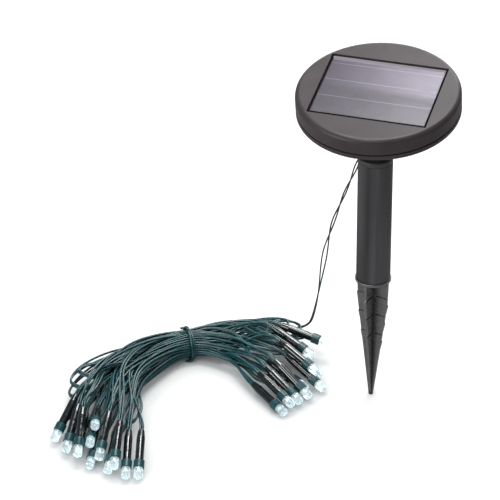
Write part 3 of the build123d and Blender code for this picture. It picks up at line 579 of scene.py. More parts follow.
@dataclass(frozen=True)
class PlatedMetal(Finish):
    """Plated steel: bright, with a fine drawn or turned brush in its gloss.

    Attributes:
        colour: sRGB hex of the plating.
        roughness: middle roughness.
        brush_mm: width of the brush marks.
    """

    colour: str
    roughness: float
    brush_mm: float = 0.4

    def build(self) -> bpy.types.Material:
        """Make the material.

        Returns:
            The material.
        """
        material, tree, place = start_material(self.name)
        soft = {"Vector": place, "Scale": scale(self.brush_mm), "Detail": 3.0}
        brush = add(tree, "ShaderNodeTexNoise", soft)
        stops = [(0.3, linear(self.colour, 0.8)), (0.6, linear(self.colour))]
        low, high = self.roughness - 0.08, self.roughness + 0.1
        shader = add(tree, "ShaderNodeBsdfPrincipled", {
            "Base Color": add(tree, "ShaderNodeValToRGB", {"Fac": brush}, stops), "Metallic": 1.0,
            "Roughness": add(tree, "ShaderNodeMapRange", {0: brush, 1: 0.3, 2: 0.7, 3: low, 4: high}),
        })
        add(tree, "ShaderNodeOutputMaterial", {"Surface": shader})
        return material


@dataclass(frozen=True)
class GlassLaminate(Finish):
    """Glass-cloth circuit laminate under green lacquer: a fine woven check shows through the gloss.

    Attributes:
        colour: sRGB hex of the lacquer.
        weave_mm: spacing of the cloth's threads.
        cloud_mm: spacing of the lacquer's duller places.
    """

    colour: str
    weave_mm: float = 0.8
    cloud_mm: float = 4.0

    def build(self) -> bpy.types.Material:
        """Make the material.

        Returns:
            The material.
        """
        material, tree, place = start_material(self.name)
        check = {"Vector": place, "Scale": scale(self.weave_mm)}
        check.update({"Color1": linear(self.colour), "Color2": linear(self.colour, 0.8)})
        cloud = add(tree, "ShaderNodeTexNoise", {"Vector": place, "Scale": scale(self.cloud_mm)})
        shader = add(tree, "ShaderNodeBsdfPrincipled", {
            "Base Color": add(tree, "ShaderNodeTexChecker", check),
            "Roughness": add(tree, "ShaderNodeMapRange", {0: cloud, 1: 0.3, 2: 0.7, 3: 0.22, 4: 0.36}),
        })
        add(tree, "ShaderNodeOutputMaterial", {"Surface": shader})
        return material


WIRE_PVC = ExtrudedVinyl("pvc_wire_bottle_green", "0B454B", 0.32)
LEAD_PVC = ExtrudedVinyl("pvc_wire_dark_lead", "2A3A3C", 0.36)
TIE_PVC = ExtrudedVinyl("pvc_tie_wire", "0F4449", 0.32)
CHIP = PlatedMetal("silver_leadframe", "E8EEF0", 0.25)

SLOT_FINISH: dict[str, Finish] = {
    "clear_lens": CastEpoxy("epoxy_cast_clear_lit", "EAF8FA", "E8FAFF", 0.25),
    "teal_socket": MouldedPlastic(
        "nylon_moulded_teal", "1B474C", 0.30, drift=0.14, patch_mm=4.0, grain_mm=0.7
    ),
    "black_sleeve": ShrunkSleeve("polyolefin_shrunk_black", "081316", 0.14),
    # The spike's grooves and the corners between its fins take painted shade.
    "spike_plastic": MouldedPlastic(
        "polypropylene_moulded_charcoal", "545456", 0.26, drift=0.12, patch_mm=9.0, coat=1.0, shade_reach_mm=5.0
    ),
    # The tube's strong long colour streaks are partly die lines and partly painted streaks of sheen.
    "tube_plastic": MouldedPlastic(
        "abs_extruded_charcoal", "3F3E40", 0.36,
        drift=0.4, patch_mm=7.0, relief_mm=0.012, gloss=0.10, streak=30.0,
    ),
    "stem_plastic": MouldedPlastic("abs_moulded_charcoal", "3A393A", 0.42),
    "washer_nylon": MouldedPlastic("nylon_washer_natural", "C9C4B4", 0.45, patch_mm=3.0, grain_mm=0.5),
    "green_wire": TIE_PVC,
    "head_plastic": MouldedPlastic(
        "abs_moulded_warm_grey", "393335", 0.42, drift=0.12, patch_mm=22.0, grain_mm=0.8, gloss=0.29
    ),
    "seal_rubber": MouldedPlastic("silicone_rubber_black", "1B1A1B", 0.62, grain_mm=0.6, relief_mm=0.01),
    "steel_screws": PlatedMetal("steel_zinc_plated", "C6C6C2", 0.30),
    "silicon_cells": SiliconCells("silicon_cells_polycrystalline", "232127", "2F2C34", "BDBBC0"),
    "panel_cover": ClearSheet("polycarbonate_sheet_clear", "F8F6FB", 0.0),
    "battery_sleeve": MouldedPlastic(
        "pvc_film_green", "2E6B47", 0.30, patch_mm=8.0, grain_mm=0.5, relief_mm=0.004
    ),
    "contact_metal": PlatedMetal("steel_nickel_plated", "D0CCC2", 0.22),
    "switch_plastic": MouldedPlastic("acetal_moulded_black", "1F1F21", 0.38, patch_mm=3.0, grain_mm=0.5),
    "board_laminate": GlassLaminate("glass_epoxy_green", "2F5D3C"),
}


@dataclass
class Wardrobe:
    """Keeps one material for each finish, and dresses the CAD nodes with them.

    Attributes:
        made: the materials made so far, by name.
    """

    made: dict[str, bpy.types.Material] = field(default_factory=dict)

    def get(self, finish: Finish) -> bpy.types.Material:
        """Give the material of a finish, made once.

        Args:
            finish: the finish.

        Returns:
            Its material.
        """
        if finish.name not in self.made:
            self.made[finish.name] = finish.build()
        return self.made[finish.name]

    def dress_nodes(self) -> None:
        """Give every CAD node the finish of the material slot that it came with."""
        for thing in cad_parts.values():
            for slot in thing.material_slots:
                slot.material = self.get(SLOT_FINISH[slot.material.name.split(".")[0]])
        LOG.info("dressed %d nodes", len(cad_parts))


# ---------------------------------------------------------------- wires


class Side(Enum):
    """The end of the hank that a light or a fold is at."""

    LEFT = "left"
    RIGHT = "right"

    def other(self) -> "Side":
        """The opposite end."""
        return Side.RIGHT if self is Side.LEFT else Side.LEFT

    def sign(self) -> float:
        """Which way this end lies along the hank: 1 ahead, -1 back."""
        return 1.0 if self is Side.RIGHT else -1.0


@dataclass(frozen=True)
class Section:
    """An upright oval cut through the hank.

    Attributes:
        centre: its middle, mm.
        width: across the hank, mm.
        height: mm.
        heading: direction of the hank here, towards its right end, degrees from +X.
        hold: how near the skin a lane may lie, as a share of the way out.
    """

    centre: Triple
    width: float
    height: float
    heading: float
    hold: float = 0.9

    def along(self) -> Vector:
        """The hank's direction here."""
        turn = math.radians(self.heading)
        return Vector((math.cos(turn), math.sin(turn), 0))

    def across(self) -> Vector:
        """From the hank's outer edge to its inner one."""
        turn = math.radians(self.heading)
        return Vector((math.sin(turn), -math.cos(turn), 0))

    def at(self, lane: Lane, ahead: float = 0.0) -> Vector:
        """Give a lane's place.

        Args:
            lane: the lane.
            ahead: how far past this cut, mm.

        Returns:
            The place, mm.
        """
        side, up = lane
        middle = Vector(self.centre) + self.along() * ahead
        return middle + self.across() * (side * self.width / 2) + Vector((0, 0, up * self.height / 2))

    def lane(self, place: Vector) -> Lane:
        """Give the lane of a place, held inside the oval.

        Args:
            place: the place, mm.

        Returns:
            The lane.
        """
        off = place - Vector(self.centre)
        side = off.dot(self.across()) / (self.width / 2)
        up = off.z / (self.height / 2)
        size = math.hypot(side, up)
        inside = min(1.0, self.hold / size) if size > 0 else 1.0
        return (side * inside, up * inside)


@dataclass(frozen=True)
class Light:
    """One light of the string.

    Attributes:
        side: the end of the hank that it lies at.
        tip: the lens's tip, mm.
        heading: the direction it points, degrees from +X.
        dip: how far it points down, degrees.
    """

    side: Side
    tip: Triple
    heading: float
    dip: float

    def out(self) -> Vector:
        """The direction it points."""
        turn, dip = math.radians(self.heading), math.radians(self.dip)
        return Vector((math.cos(turn) * math.cos(dip), math.sin(turn) * math.cos(dip), -math.sin(dip)))

    def behind_tip(self, distance: float) -> Vector:
        """A place on its axis, behind the tip, mm."""
        return Vector(self.tip) - self.out() * distance


def curve_mesh(
    lines: list[Line], name: str, radius: float, steps: int, kind: str = "NURBS"
) -> bpy.types.Mesh:
    """Draw smooth lines through control points and give them as a mesh.

    Args:
        lines: control points of each line, mm.
        name: the mesh's name.
        radius: radius of the round section, mm; 0 leaves bare lines.
        steps: line points for each control point.
        kind: the kind of spline.

    Returns:
        The mesh.
    """
    curve = bpy.data.curves.new(name, "CURVE")
    curve.dimensions = "3D"
    curve.resolution_u = steps
    curve.bevel_depth = radius * MM
    curve.bevel_resolution = 2
    curve.use_fill_caps = radius > 0
    for line in lines:
        spline = curve.splines.new(kind)
        spline.points.add(len(line) - 1)
        for point, place in zip(spline.points, line):
            point.co = (*(c * MM for c in place), 1.0)
        spline.order_u = 3
        spline.use_endpoint_u = True
    holder = bpy.data.objects.new(name + "_curve", curve)
    mesh = bpy.data.meshes.new_from_object(holder)
    bpy.data.objects.remove(holder)
    bpy.data.curves.remove(curve)
    mesh.name = name
    return mesh


def spline_points(controls: Line, name: str, steps: int) -> Line:
    """Read the smooth line that a NURBS spline draws from its control points.

    Args:
        controls: control points, mm.
        name: name of the passing mesh.
        steps: line points for each control point.

    Returns:
        Points along the line, mm.
    """
    mesh = curve_mesh([controls], name, 0.0, steps)
    points = [v.co / MM for v in mesh.vertices]
    bpy.data.meshes.remove(mesh)
    return points


def path_length(points: Line) -> float:
    """Length of a line of points."""
    return sum((b - a).length for a, b in zip(points, points[1:]))


def wire_piece(mesh: bpy.types.Mesh, material: bpy.types.Material) -> bpy.types.Object:
    """Make a smooth piece of a wire's mesh, under the mesh's name.

    Args:
        mesh: the wires.
        material: their material.

    Returns:
        The piece.
    """
    mesh.materials.clear()
    mesh.materials.append(material)
    mesh.polygons.foreach_set("use_smooth", [True] * len(mesh.polygons))
    piece = bpy.data.objects.new(mesh.name, mesh)
    bpy.context.scene.collection.objects.link(piece)
    return piece


@dataclass(frozen=True)
class Stop:
    """A place where a run of wire ends: behind a light, at a bare fold, or at the lead.

    Attributes:
        side: the end of the hank.
        cut: number of the outermost cut the run passes.
        enter: the lane in which a run comes to it.
        leave: the lane in which the next run leaves it.
        reach: how far a fold goes past the cut, mm.
        light: the light, if there is one.
    """

    side: Side
    cut: int
    enter: Lane
    leave: Lane
    reach: float = 0.0
    light: Light | None = None


@dataclass
class Lead:
    """Two thin wires, loosely twisted, from the gland in the head down into the hank.

    It is one run of wire in two pieces, because it crosses the head's tilt and the neck's turn.

    Attributes:
        wardrobe: the finishes.
        route: control points from the gland's mouth to the hank, mm.
        joint_at: the route's point where the upper piece gives way to the lower one.
        still_at: the route's point from which the lower piece was to stay with the stake; not used.
        wire: diameter of one wire, mm.
        diameter: diameter over both, mm.
        steps: line points for each control point.
        turn: how the two wires stand to each other at the gland, radians.
        pitch: length of one twist at its middle tightness, mm.
        pitch_wave: how slowly the twist grows tighter and looser along the lead, mm.
        gap: least distance of a wire from the middle line, and how much further it strays, mm.
        gap_wave: how slowly the wires part and close along the lead, mm.
        gland_gap: the share of that distance at the gland, and the way on which it grows back, mm.
        ends: where the two wires end in the hank, known once it is built, mm.
    """

    wardrobe: Wardrobe
    route: tuple[Triple, ...] = (
        (-14.0, 31.8, 176.06),
        (-14.0, 34.64, 159.3),
        (-20.0, 34.5, 138.0),
        (-29.5, 34.0, 112.0),
        (-37.0, 33.5, 88.0),
        (-41.0, 34.0, 62.0),
        (-43.5, 34.0, 42.0),
        (-46.5, 34.5, 27.0),
        (-50.0, 38.0, 17.5),
        (-57.5, 41.0, 11.0),
        (-68.0, 37.0, 9.0),
    )
    joint_at: Triple = (-29.5, 34.0, 112.0)
    still_at: Triple = (-46.5, 34.5, 27.0)
    wire: float = 0.95
    diameter: float = 2.2
    steps: int = 14
    turn: float = 0.4
    pitch: float = 46.0
    pitch_wave: float = 31.0
    gap: tuple[float, float] = (0.56, 0.85)
    gap_wave: float = 17.0
    gland_gap: tuple[float, float] = (0.62, 60.0)
    ends: Line = field(default_factory=list)

    def build(self) -> None:
        line = spline_points([Vector(p) for p in self.route], "lead_line", self.steps)
        wires = self.twist(line)
        joint = Vector(self.joint_at)
        cut = min(range(len(line)), key=lambda i: (line[i] - joint).length)
        for name, part, bodies in (
            ("lead_upper", slice(0, cut + 1), ("neck", "head")),
            ("lead_lower", slice(cut, None), ("stake", "neck")),
        ):
            self.piece(name, line[part], [wire[part] for wire in wires], bodies)
        self.ends = [wire[-1] for wire in wires]

    def twist(self, line: Line) -> tuple[Line, Line]:
        """Lay two wires round a line, now close and now apart, as a loose twist lies.

        Args:
            line: the middle line, mm.

        Returns:
            The two wires' middle lines, mm.
        """
        side = Vector((1, 0, 0))
        angle, run = self.turn, 0.0
        first, second = [], []
        for i, place in enumerate(line):
            ahead = (line[min(i + 1, len(line) - 1)] - line[max(i - 1, 0)]).normalized()
            side = (side - ahead * side.dot(ahead)).normalized()
            other = ahead.cross(side)
            if i:
                step = (place - line[i - 1]).length
                run += step
                angle += step * 2 * math.pi / self.pitch * (0.75 + 0.5 * math.sin(run / self.pitch_wave))
            apart = self.gap[0] + self.gap[1] * (0.5 + 0.5 * math.sin(run / self.gap_wave + 1.1))
            apart *= min(1.0, self.gland_gap[0] + run / self.gland_gap[1])
            off = (side * math.cos(angle) + other * math.sin(angle)) * apart
            first.append(place + off)
            second.append(place - off)
        return first, second

    def piece(self, name: str, line: Line, wires: list[Line], bodies: tuple[str, str]) -> None:
        """Make one of the two pieces.

        Args:
            name: its name.
            line: its middle line, from the head's end down, mm.
            wires: the two wires' middle lines, mm.
            bodies: the body at its low end and the body at its high end; not used.
        """
        mesh = curve_mesh(wires, name, self.wire / 2, 1, "POLY")
        piece = wire_piece(mesh, self.wardrobe.get(LEAD_PVC))
        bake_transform(piece)
        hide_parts("lead_cable")
        LOG.info("%s: %.0f mm", name, path_length(line))


@dataclass
class Hank:
    """The string's wire, run to and fro between the lights and tied at its waist.

    Attributes:
        wardrobe: the finishes.
        lead_ends: where the lead's two wires end, mm.
        lead_end: the middle between them, mm.
        sections: cuts from the left end to the right one; the two narrow ones are the waist.
        waist: numbers of the waist's two cuts.
        outer: number of the outermost cut at each end that a light's wires may pass.
        lead_cut: number of the cut at which the lead's wires join.
        order: the end at which each next light of the string lies.
        detours: links that also fold once at each end before they reach the next light.
        left_folds: bare folds at the left end.
        right_folds: the same at the right end.
        mixing: how far a run may stray from its neighbours' lanes, which makes the wires cross.
        lateness: power with which a run keeps its waist lane longer and turns to its end lane later.
        keep_in: the furthest lane of a run on its way, which stays inside the hank, and at its last cut.
        skin_gap: gap between the waist's skin and the outer ring of wires, mm.
        ring_step: from one ring of wires to the next, in widths of a wire.
        pair_room: room of a pair in its ring, in widths of a pair.
        parting: half the way between a pair's wires at the waist, and what the end may add, in half wires.
        floor_gap: least gap under a wire, mm.
        sway: how far a run bows out of its way from the waist to its end, across and up, in lanes.
        spin: how far a pair turns about itself on that way, radians.
        wire: diameter of one wire, mm.
        diameter: width of the two wires of a link, mm.
        light_length: length of a light with its sleeve, mm.
        sleeve_clear: how far behind the tip the wires are clear of the sleeve, mm.
        sleeve_inside: how far behind the tip the wires' first points lie, mm.
        lead_in: least way from a clear sleeve to the cut that its wires pass first, mm.
        steps: line points for each control point.
        seed: seed of the small differences between turns.
        dice: the source of those differences.
    """

    wardrobe: Wardrobe
    lead_ends: Line
    lead_end: Triple = (-68.0, 37.0, 9.0)
    sections: tuple[Section, ...] = (
        Section((-138.0, -94.4, 12.5), 58.0, 21.0, 70.0),
        Section((-148.0, -70.0, 12.5), 52.0, 20.0, 92.0),
        Section((-151.0, -46.0, 11.5), 45.0, 18.0, 90.0),
        Section((-147.5, -28.0, 10.5), 41.0, 17.0, 74.0),
        Section((-141.0, -14.0, 10.0), 36.0, 16.8, 60.0),
        Section((-131.5, -1.5, 9.5), 26.0, 16.8, 46.0),
        Section((-122.1, 6.2, 9.0), 19.2, 16.8, 34.0),
        Section((-117.9, 9.0, 9.0), 19.2, 16.8, 34.0),
        Section((-107.0, 14.5, 9.5), 29.0, 16.8, 20.0),
        Section((-90.0, 17.5, 10.0), 43.0, 18.0, 5.0),
        Section((-76.0, 15.0, 11.0), 51.0, 20.0, -4.0),
        Section((-64.0, 6.0, 12.0), 58.0, 21.0, -6.0),
    )
    waist: tuple[int, int] = (6, 7)
    outer: tuple[int, int] = (1, 10)
    lead_cut: int = 9
    order: str = "RLRRLRLLRLRRLRLLRLRRLRLL"
    detours: tuple[int, ...] = (0, 2, 6, 8, 9, 12, 15, 18, 20)
    left_folds: tuple[Fold, ...] = (
        (2, -1.0, -0.25, 0.3, 17.0), (2, -0.95, -0.1, -0.2, 11.0), (2, -1.02, -0.35, -0.5, 20.0),
        (2, -0.88, -0.2, 0.6, 7.0), (3, -1.0, -0.1, 0.1, 14.0), (1, -0.75, -0.5, -0.5, 18.0),
        (1, -0.45, -0.15, -0.8, 31.0), (1, -0.15, 0.1, -0.6, 22.0), (1, 0.15, 0.4, -0.75, 31.0),
        (1, 0.5, 0.75, -0.7, 29.0), (1, 0.7, 0.95, -0.3, 15.0), (2, -0.3, 0.5, 0.5, 12.0),
        (2, 0.1, 0.6, -0.1, 14.0),
    )
    right_folds: tuple[Fold, ...] = (
        (10, -1.16, -0.5, 0.2, 19.0), (10, -1.08, -0.4, -0.2, 15.0), (10, -1.0, -0.3, 0.55, 12.0),
        (10, -0.5, -0.2, 0.3, 22.0), (11, -0.4, -0.1, -0.35, 22.0), (11, -0.05, 0.2, -0.6, 26.0),
        (10, 0.05, 0.35, 0.55, 20.0), (11, 0.35, 0.6, -0.6, 20.0), (11, 0.6, 0.85, -0.5, 14.0),
        (10, -0.75, -0.45, 0.5, 25.0), (10, 0.5, 0.85, 0.1, 16.0), (9, -0.9, 0.0, 0.4, 16.0),
    )
    mixing: float = 0.5
    lateness: float = 1.6
    keep_in: tuple[float, float] = (0.96, 1.2)
    skin_gap: float = 0.12
    ring_step: float = 0.92
    pair_room: float = 1.03
    parting: tuple[float, float] = (1.04, 1.3)
    floor_gap: float = 0.3
    sway: Lane = (0.2, 0.3)
    spin: float = 1.6
    wire: float = 1.4
    diameter: float = 2.8
    light_length: float = 32.0
    sleeve_clear: float = 41.0
    sleeve_inside: Triple = (29.0, 33.5, 38.0)
    lead_in: float = 7.0
    steps: int = 5
    seed: int = 11
    dice: random.Random = field(init=False)

    def build(self, lights: list[Light]) -> None:
        """Args:
            lights: the string's lights.
        """
        self.dice = random.Random(self.seed)
        plans = self.plans(self.chain(lights))
        for number, (stops, slots) in enumerate(zip(plans, self.give_slots(plans))):
            self.link(number, stops, slots)

    def stray(self, most: float) -> float:
        """Draw a small difference either way."""
        return self.dice.uniform(-most, most)

    def chain(self, lights: list[Light]) -> list[Light]:
        """Put the lights in the string's order, so that neighbours lie in like lanes.

        Args:
            lights: the string's lights.

        Returns:
            The lights from the lead onwards.
        """
        rows = {}
        for side, cut in zip(Side, self.outer):
            section = self.sections[cut]
            rows[side] = [light for light in lights if light.side is side]
            rows[side].sort(key=lambda t: section.lane(t.behind_tip(self.light_length))[0] + self.stray(0.2))
        sides = {"L": Side.LEFT, "R": Side.RIGHT}
        return [rows[sides[letter]].pop(0) for letter in self.order]

    def plans(self, chain: list[Light]) -> list[list[Stop]]:
        """Work out where each link starts, folds and stops.

        Args:
            chain: the lights in order.

        Returns:
            For each link, its stops from one light to the next.
        """
        folds = {side: self.folds(side) for side in Side}
        plans = [[self.lead_stop(), folds[Side.LEFT].pop(0), self.light_stop(chain[0])]]
        for number, (here, there) in enumerate(zip(chain, chain[1:])):
            stops = [self.light_stop(here)]
            if here.side is there.side:
                stops.append(folds[here.side.other()].pop(0))
            elif number in self.detours:
                stops += [folds[there.side].pop(0), folds[here.side].pop(0)]
            plans.append(stops + [self.light_stop(there)])
        return plans

    def folds(self, side: Side) -> list[Stop]:
        """Choose the bare folds at one end, most of them at the hank's outer edge.

        Args:
            side: the end of the hank.

        Returns:
            The folds, in mixed order.
        """
        made = []
        for cut, near, far, up, reach in self.left_folds if side is Side.LEFT else self.right_folds:
            lanes = [(near, up), (far, up * 0.6)]
            if self.dice.random() < 0.5:
                lanes.reverse()
            made.append(Stop(side, cut, *lanes, reach))
        self.dice.shuffle(made)
        return made

    def light_stop(self, light: Light) -> Stop:
        """Find the cut just ahead of a light's sleeve and the lane its wires take there.

        Args:
            light: the light.

        Returns:
            The stop behind it.
        """
        start = light.behind_tip(self.sleeve_clear)
        end = list(Side).index(light.side)
        for number in range(self.outer[end], self.waist[end], (1, -1)[end]):
            section = self.sections[number]
            if (start - Vector(section.centre)).dot(section.along()) * light.side.sign() > self.lead_in:
                break
        lane = section.lane(start)
        return Stop(light.side, number, lane, lane, light=light)

    def lead_stop(self) -> Stop:
        """Find where the lead's wires enter the hank."""
        lane = self.sections[self.lead_cut].lane(Vector(self.lead_end) + Vector((-14.0, -5.0, 2.0)))
        return Stop(Side.RIGHT, self.lead_cut, lane, lane)

    def give_slots(self, plans: list[list[Stop]]) -> list[list[Slot]]:
        """Give each run its place in the waist, near the lanes of its two ends.

        Args:
            plans: the links' stops.

        Returns:
            For each link, the slot of each of its runs.
        """
        wants = []
        for number, stops in enumerate(plans):
            for place, (here, there) in enumerate(zip(stops, stops[1:])):
                middle = (here.leave[0] + there.enter[0]) / 2
                wants.append((middle + self.stray(self.mixing), number, place))
        slots = sorted(self.waist_slots(len(wants)), key=lambda slot: slot[0][0])
        given = [[None] * (len(stops) - 1) for stops in plans]
        for (_, number, place), slot in zip(sorted(wants), slots):
            given[number][place] = slot
        return given

    def waist_slots(self, count: int) -> list[Slot]:
        """Pack pairs of wires in rings inside the waist, each ring a little less than a wire further in.

        Args:
            count: how many pairs.

        Returns:
            The slot of each pair.
        """
        narrow = self.sections[self.waist[0]]
        slots = []
        ring = 0
        while len(slots) < count:
            inset = self.wire / 2 + self.skin_gap + ring * self.wire * self.ring_step
            a, b = narrow.width / 2 - inset, narrow.height / 2 - inset
            around = 2 * math.pi * math.sqrt((a * a + b * b) / 2)
            room = min(int(around / (2 * self.wire * self.pair_room)), count - len(slots))
            for i in range(room):
                t = 2 * math.pi * (i + 0.5 * (ring % 2)) / room + 0.2
                lane = (a * math.cos(t) / (narrow.width / 2), b * math.sin(t) / (narrow.height / 2))
                slots.append((lane, math.atan2(b * math.cos(t), -a * math.sin(t))))
            ring += 1
        return slots

    def half(self, slot: Slot, side: Side, last: int, lane: Lane) -> Pairs:
        """Give a run's control points from the waist out to one end.

        Args:
            slot: the run's slot at the waist.
            side: the end of the hank.
            last: the outermost cut it passes.
            lane: its lane there.

        Returns:
            Each control point, and half the way from one wire to the other.
        """
        start, step = (self.waist[0], -1) if side is Side.LEFT else (self.waist[1], 1)
        count = abs(last - start)
        sway = [self.stray(most) for most in self.sway]
        spin = self.stray(self.spin)
        made = []
        for i in range(count + 1):
            section = self.sections[start + step * i]
            t = i / max(count, 1)
            late, swell = t**self.lateness, math.sin(math.pi * t)
            here = tuple(a + (b - a) * late + s * swell for a, b, s in zip(slot[0], lane, sway))
            size = math.hypot(*here)
            limit = self.keep_in[0] if i < count else self.keep_in[1]
            if size > limit:
                here = (here[0] * limit / size, here[1] * limit / size)
            turn = slot[1] + spin * t
            apart = self.wire / 2 * (self.parting[0] + self.parting[1] * t * self.dice.uniform(0.1, 1.0))
            off = section.across() * math.cos(turn) * apart + Vector((0, 0, math.sin(turn) * apart))
            place = section.at(here)
            place.z = max(place.z, self.wire / 2 + self.floor_gap + abs(off.z))
            made.append((place, off))
        return made

    def link(self, number: int, stops: list[Stop], slots: list[Slot]) -> None:
        """Make the wires from one light to the next.

        Args:
            number: the link's place in the string.
            stops: where it starts, folds and stops.
            slots: the slot of each run.
        """
        if stops[0].light is None:
            middle = Vector(self.lead_end)
            off = (self.lead_ends[0] - self.lead_ends[1]) / 2
            route = [(middle, off), (middle + Vector((-9.0, -3.5, 1.0)), off)]
        else:
            route = self.tail(stops[0].light, 1.0)
        for here, there, slot in zip(stops, stops[1:], slots):
            route += reversed(self.half(slot, here.side, here.cut, here.leave))
            route += self.half(slot, there.side, there.cut, there.enter)
            if there.light is None:
                off = Vector((0, 0, self.wire / 2 * 1.2))
                for lane in (there.enter, there.leave):
                    place = self.sections[there.cut].at(lane, there.side.sign() * there.reach)
                    place.z = max(place.z, self.wire * 1.7)
                    route.append((place, off))
        route += reversed(self.tail(stops[-1].light, -1.0))
        self.declare(number, route)

    def tail(self, light: Light, side: float) -> Pairs:
        """Give the control points inside and just behind a light's sleeve.

        Args:
            light: the light.
            side: which half of the sleeve's mouth the two wires take, 1 or -1.

        Returns:
            Control points from the sleeve outwards, and half the way between the wires.
        """
        flat = light.out().cross(Vector((0, 0, 1))).normalized()
        rise = flat.cross(light.out()).normalized() * (0.6 * side)
        return [(light.behind_tip(d) + rise, flat * (self.wire / 2)) for d in self.sleeve_inside]

    def declare(self, number: int, route: Pairs) -> None:
        """Args:
            number: the link's place in the string.
            route: control points, and half the way from one wire to the other.
        """
        name = f"string_link_{number:02d}"
        routes = [[place + off * sign for place, off in route] for sign in (1.0, -1.0)]
        mesh = curve_mesh(routes, name, self.wire / 2, self.steps)
        piece = wire_piece(mesh, self.wardrobe.get(WIRE_PVC))
        line = spline_points([place for place, _ in route], name + "_line", self.steps)
        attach(piece, "stake")
        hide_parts("wire_hank")
        LOG.info("%s: %.0f mm", name, path_length(line))


@dataclass
class Tie:
    """Second turn of the tie's wire, laid beside the first, with its twisted ends.

    Attributes:
        wardrobe: the finishes.
        cut: the hank's waist where the tie lies.
        beside: from the first turn to this one, along the hank, mm.
        above: from the hank's skin to the wire's middle, mm.
        wire: diameter of the wire, mm.
        start: the twisted start: angle, place along the hank and rise off the skin of each point.
        finish: how the turn leaves the skin again, in the same way.
        tail: the loose end, in the same way.
    """

    wardrobe: Wardrobe
    cut: Section = Section((-120.0, 7.6, 9.0), 19.2, 16.8, 34.0)
    beside: float = 1.5
    above: float = 0.9
    wire: float = 1.5
    start: tuple[Triple, ...] = ((100.0, -4.2, 1.6), (96.0, -2.0, 1.8), (92.0, 0.2, 1.5))
    finish: tuple[Triple, ...] = ((-262.0, 0.4, 1.3), (-266.0, -1.6, 2.9), (-272.0, -3.4, 2.4))
    tail: tuple[Triple, ...] = ((-25, 1.5, 0.3), (-38, 0.4, 1.3), (-46, -1.6, 1.5), (-52, -3.4, 0.8))

    def build(self) -> None:
        """Make the turn and its ends as one piece."""
        round_it = tuple((80.0 - 20.0 * i, self.beside, 0.0) for i in range(17))
        rows = (self.start + round_it + self.finish, self.tail)
        lines = [[self.around(*row) for row in line] for line in rows]
        mesh = curve_mesh(lines, "tie_turn", self.wire / 2, 4)
        piece = wire_piece(mesh, self.wardrobe.get(TIE_PVC))
        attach(piece, "stake")
        LOG.info("tie_turn: %d points", sum(len(line) for line in lines))

    def around(self, angle: float, ahead: float, out: float) -> Vector:
        """Give a place round the waist.

        Args:
            angle: from the inner edge upwards, degrees.
            ahead: along the hank from the first turn, mm.
            out: further from the hank's skin than the wire's own place, mm.

        Returns:
            The place, mm.
        """
        t = math.radians(angle)
        side = 1 + 2 * (self.above + out) / self.cut.width
        up = 1 + 2 * (self.above + out) / self.cut.height
        return self.cut.at((side * math.cos(t), up * math.sin(t)), ahead)


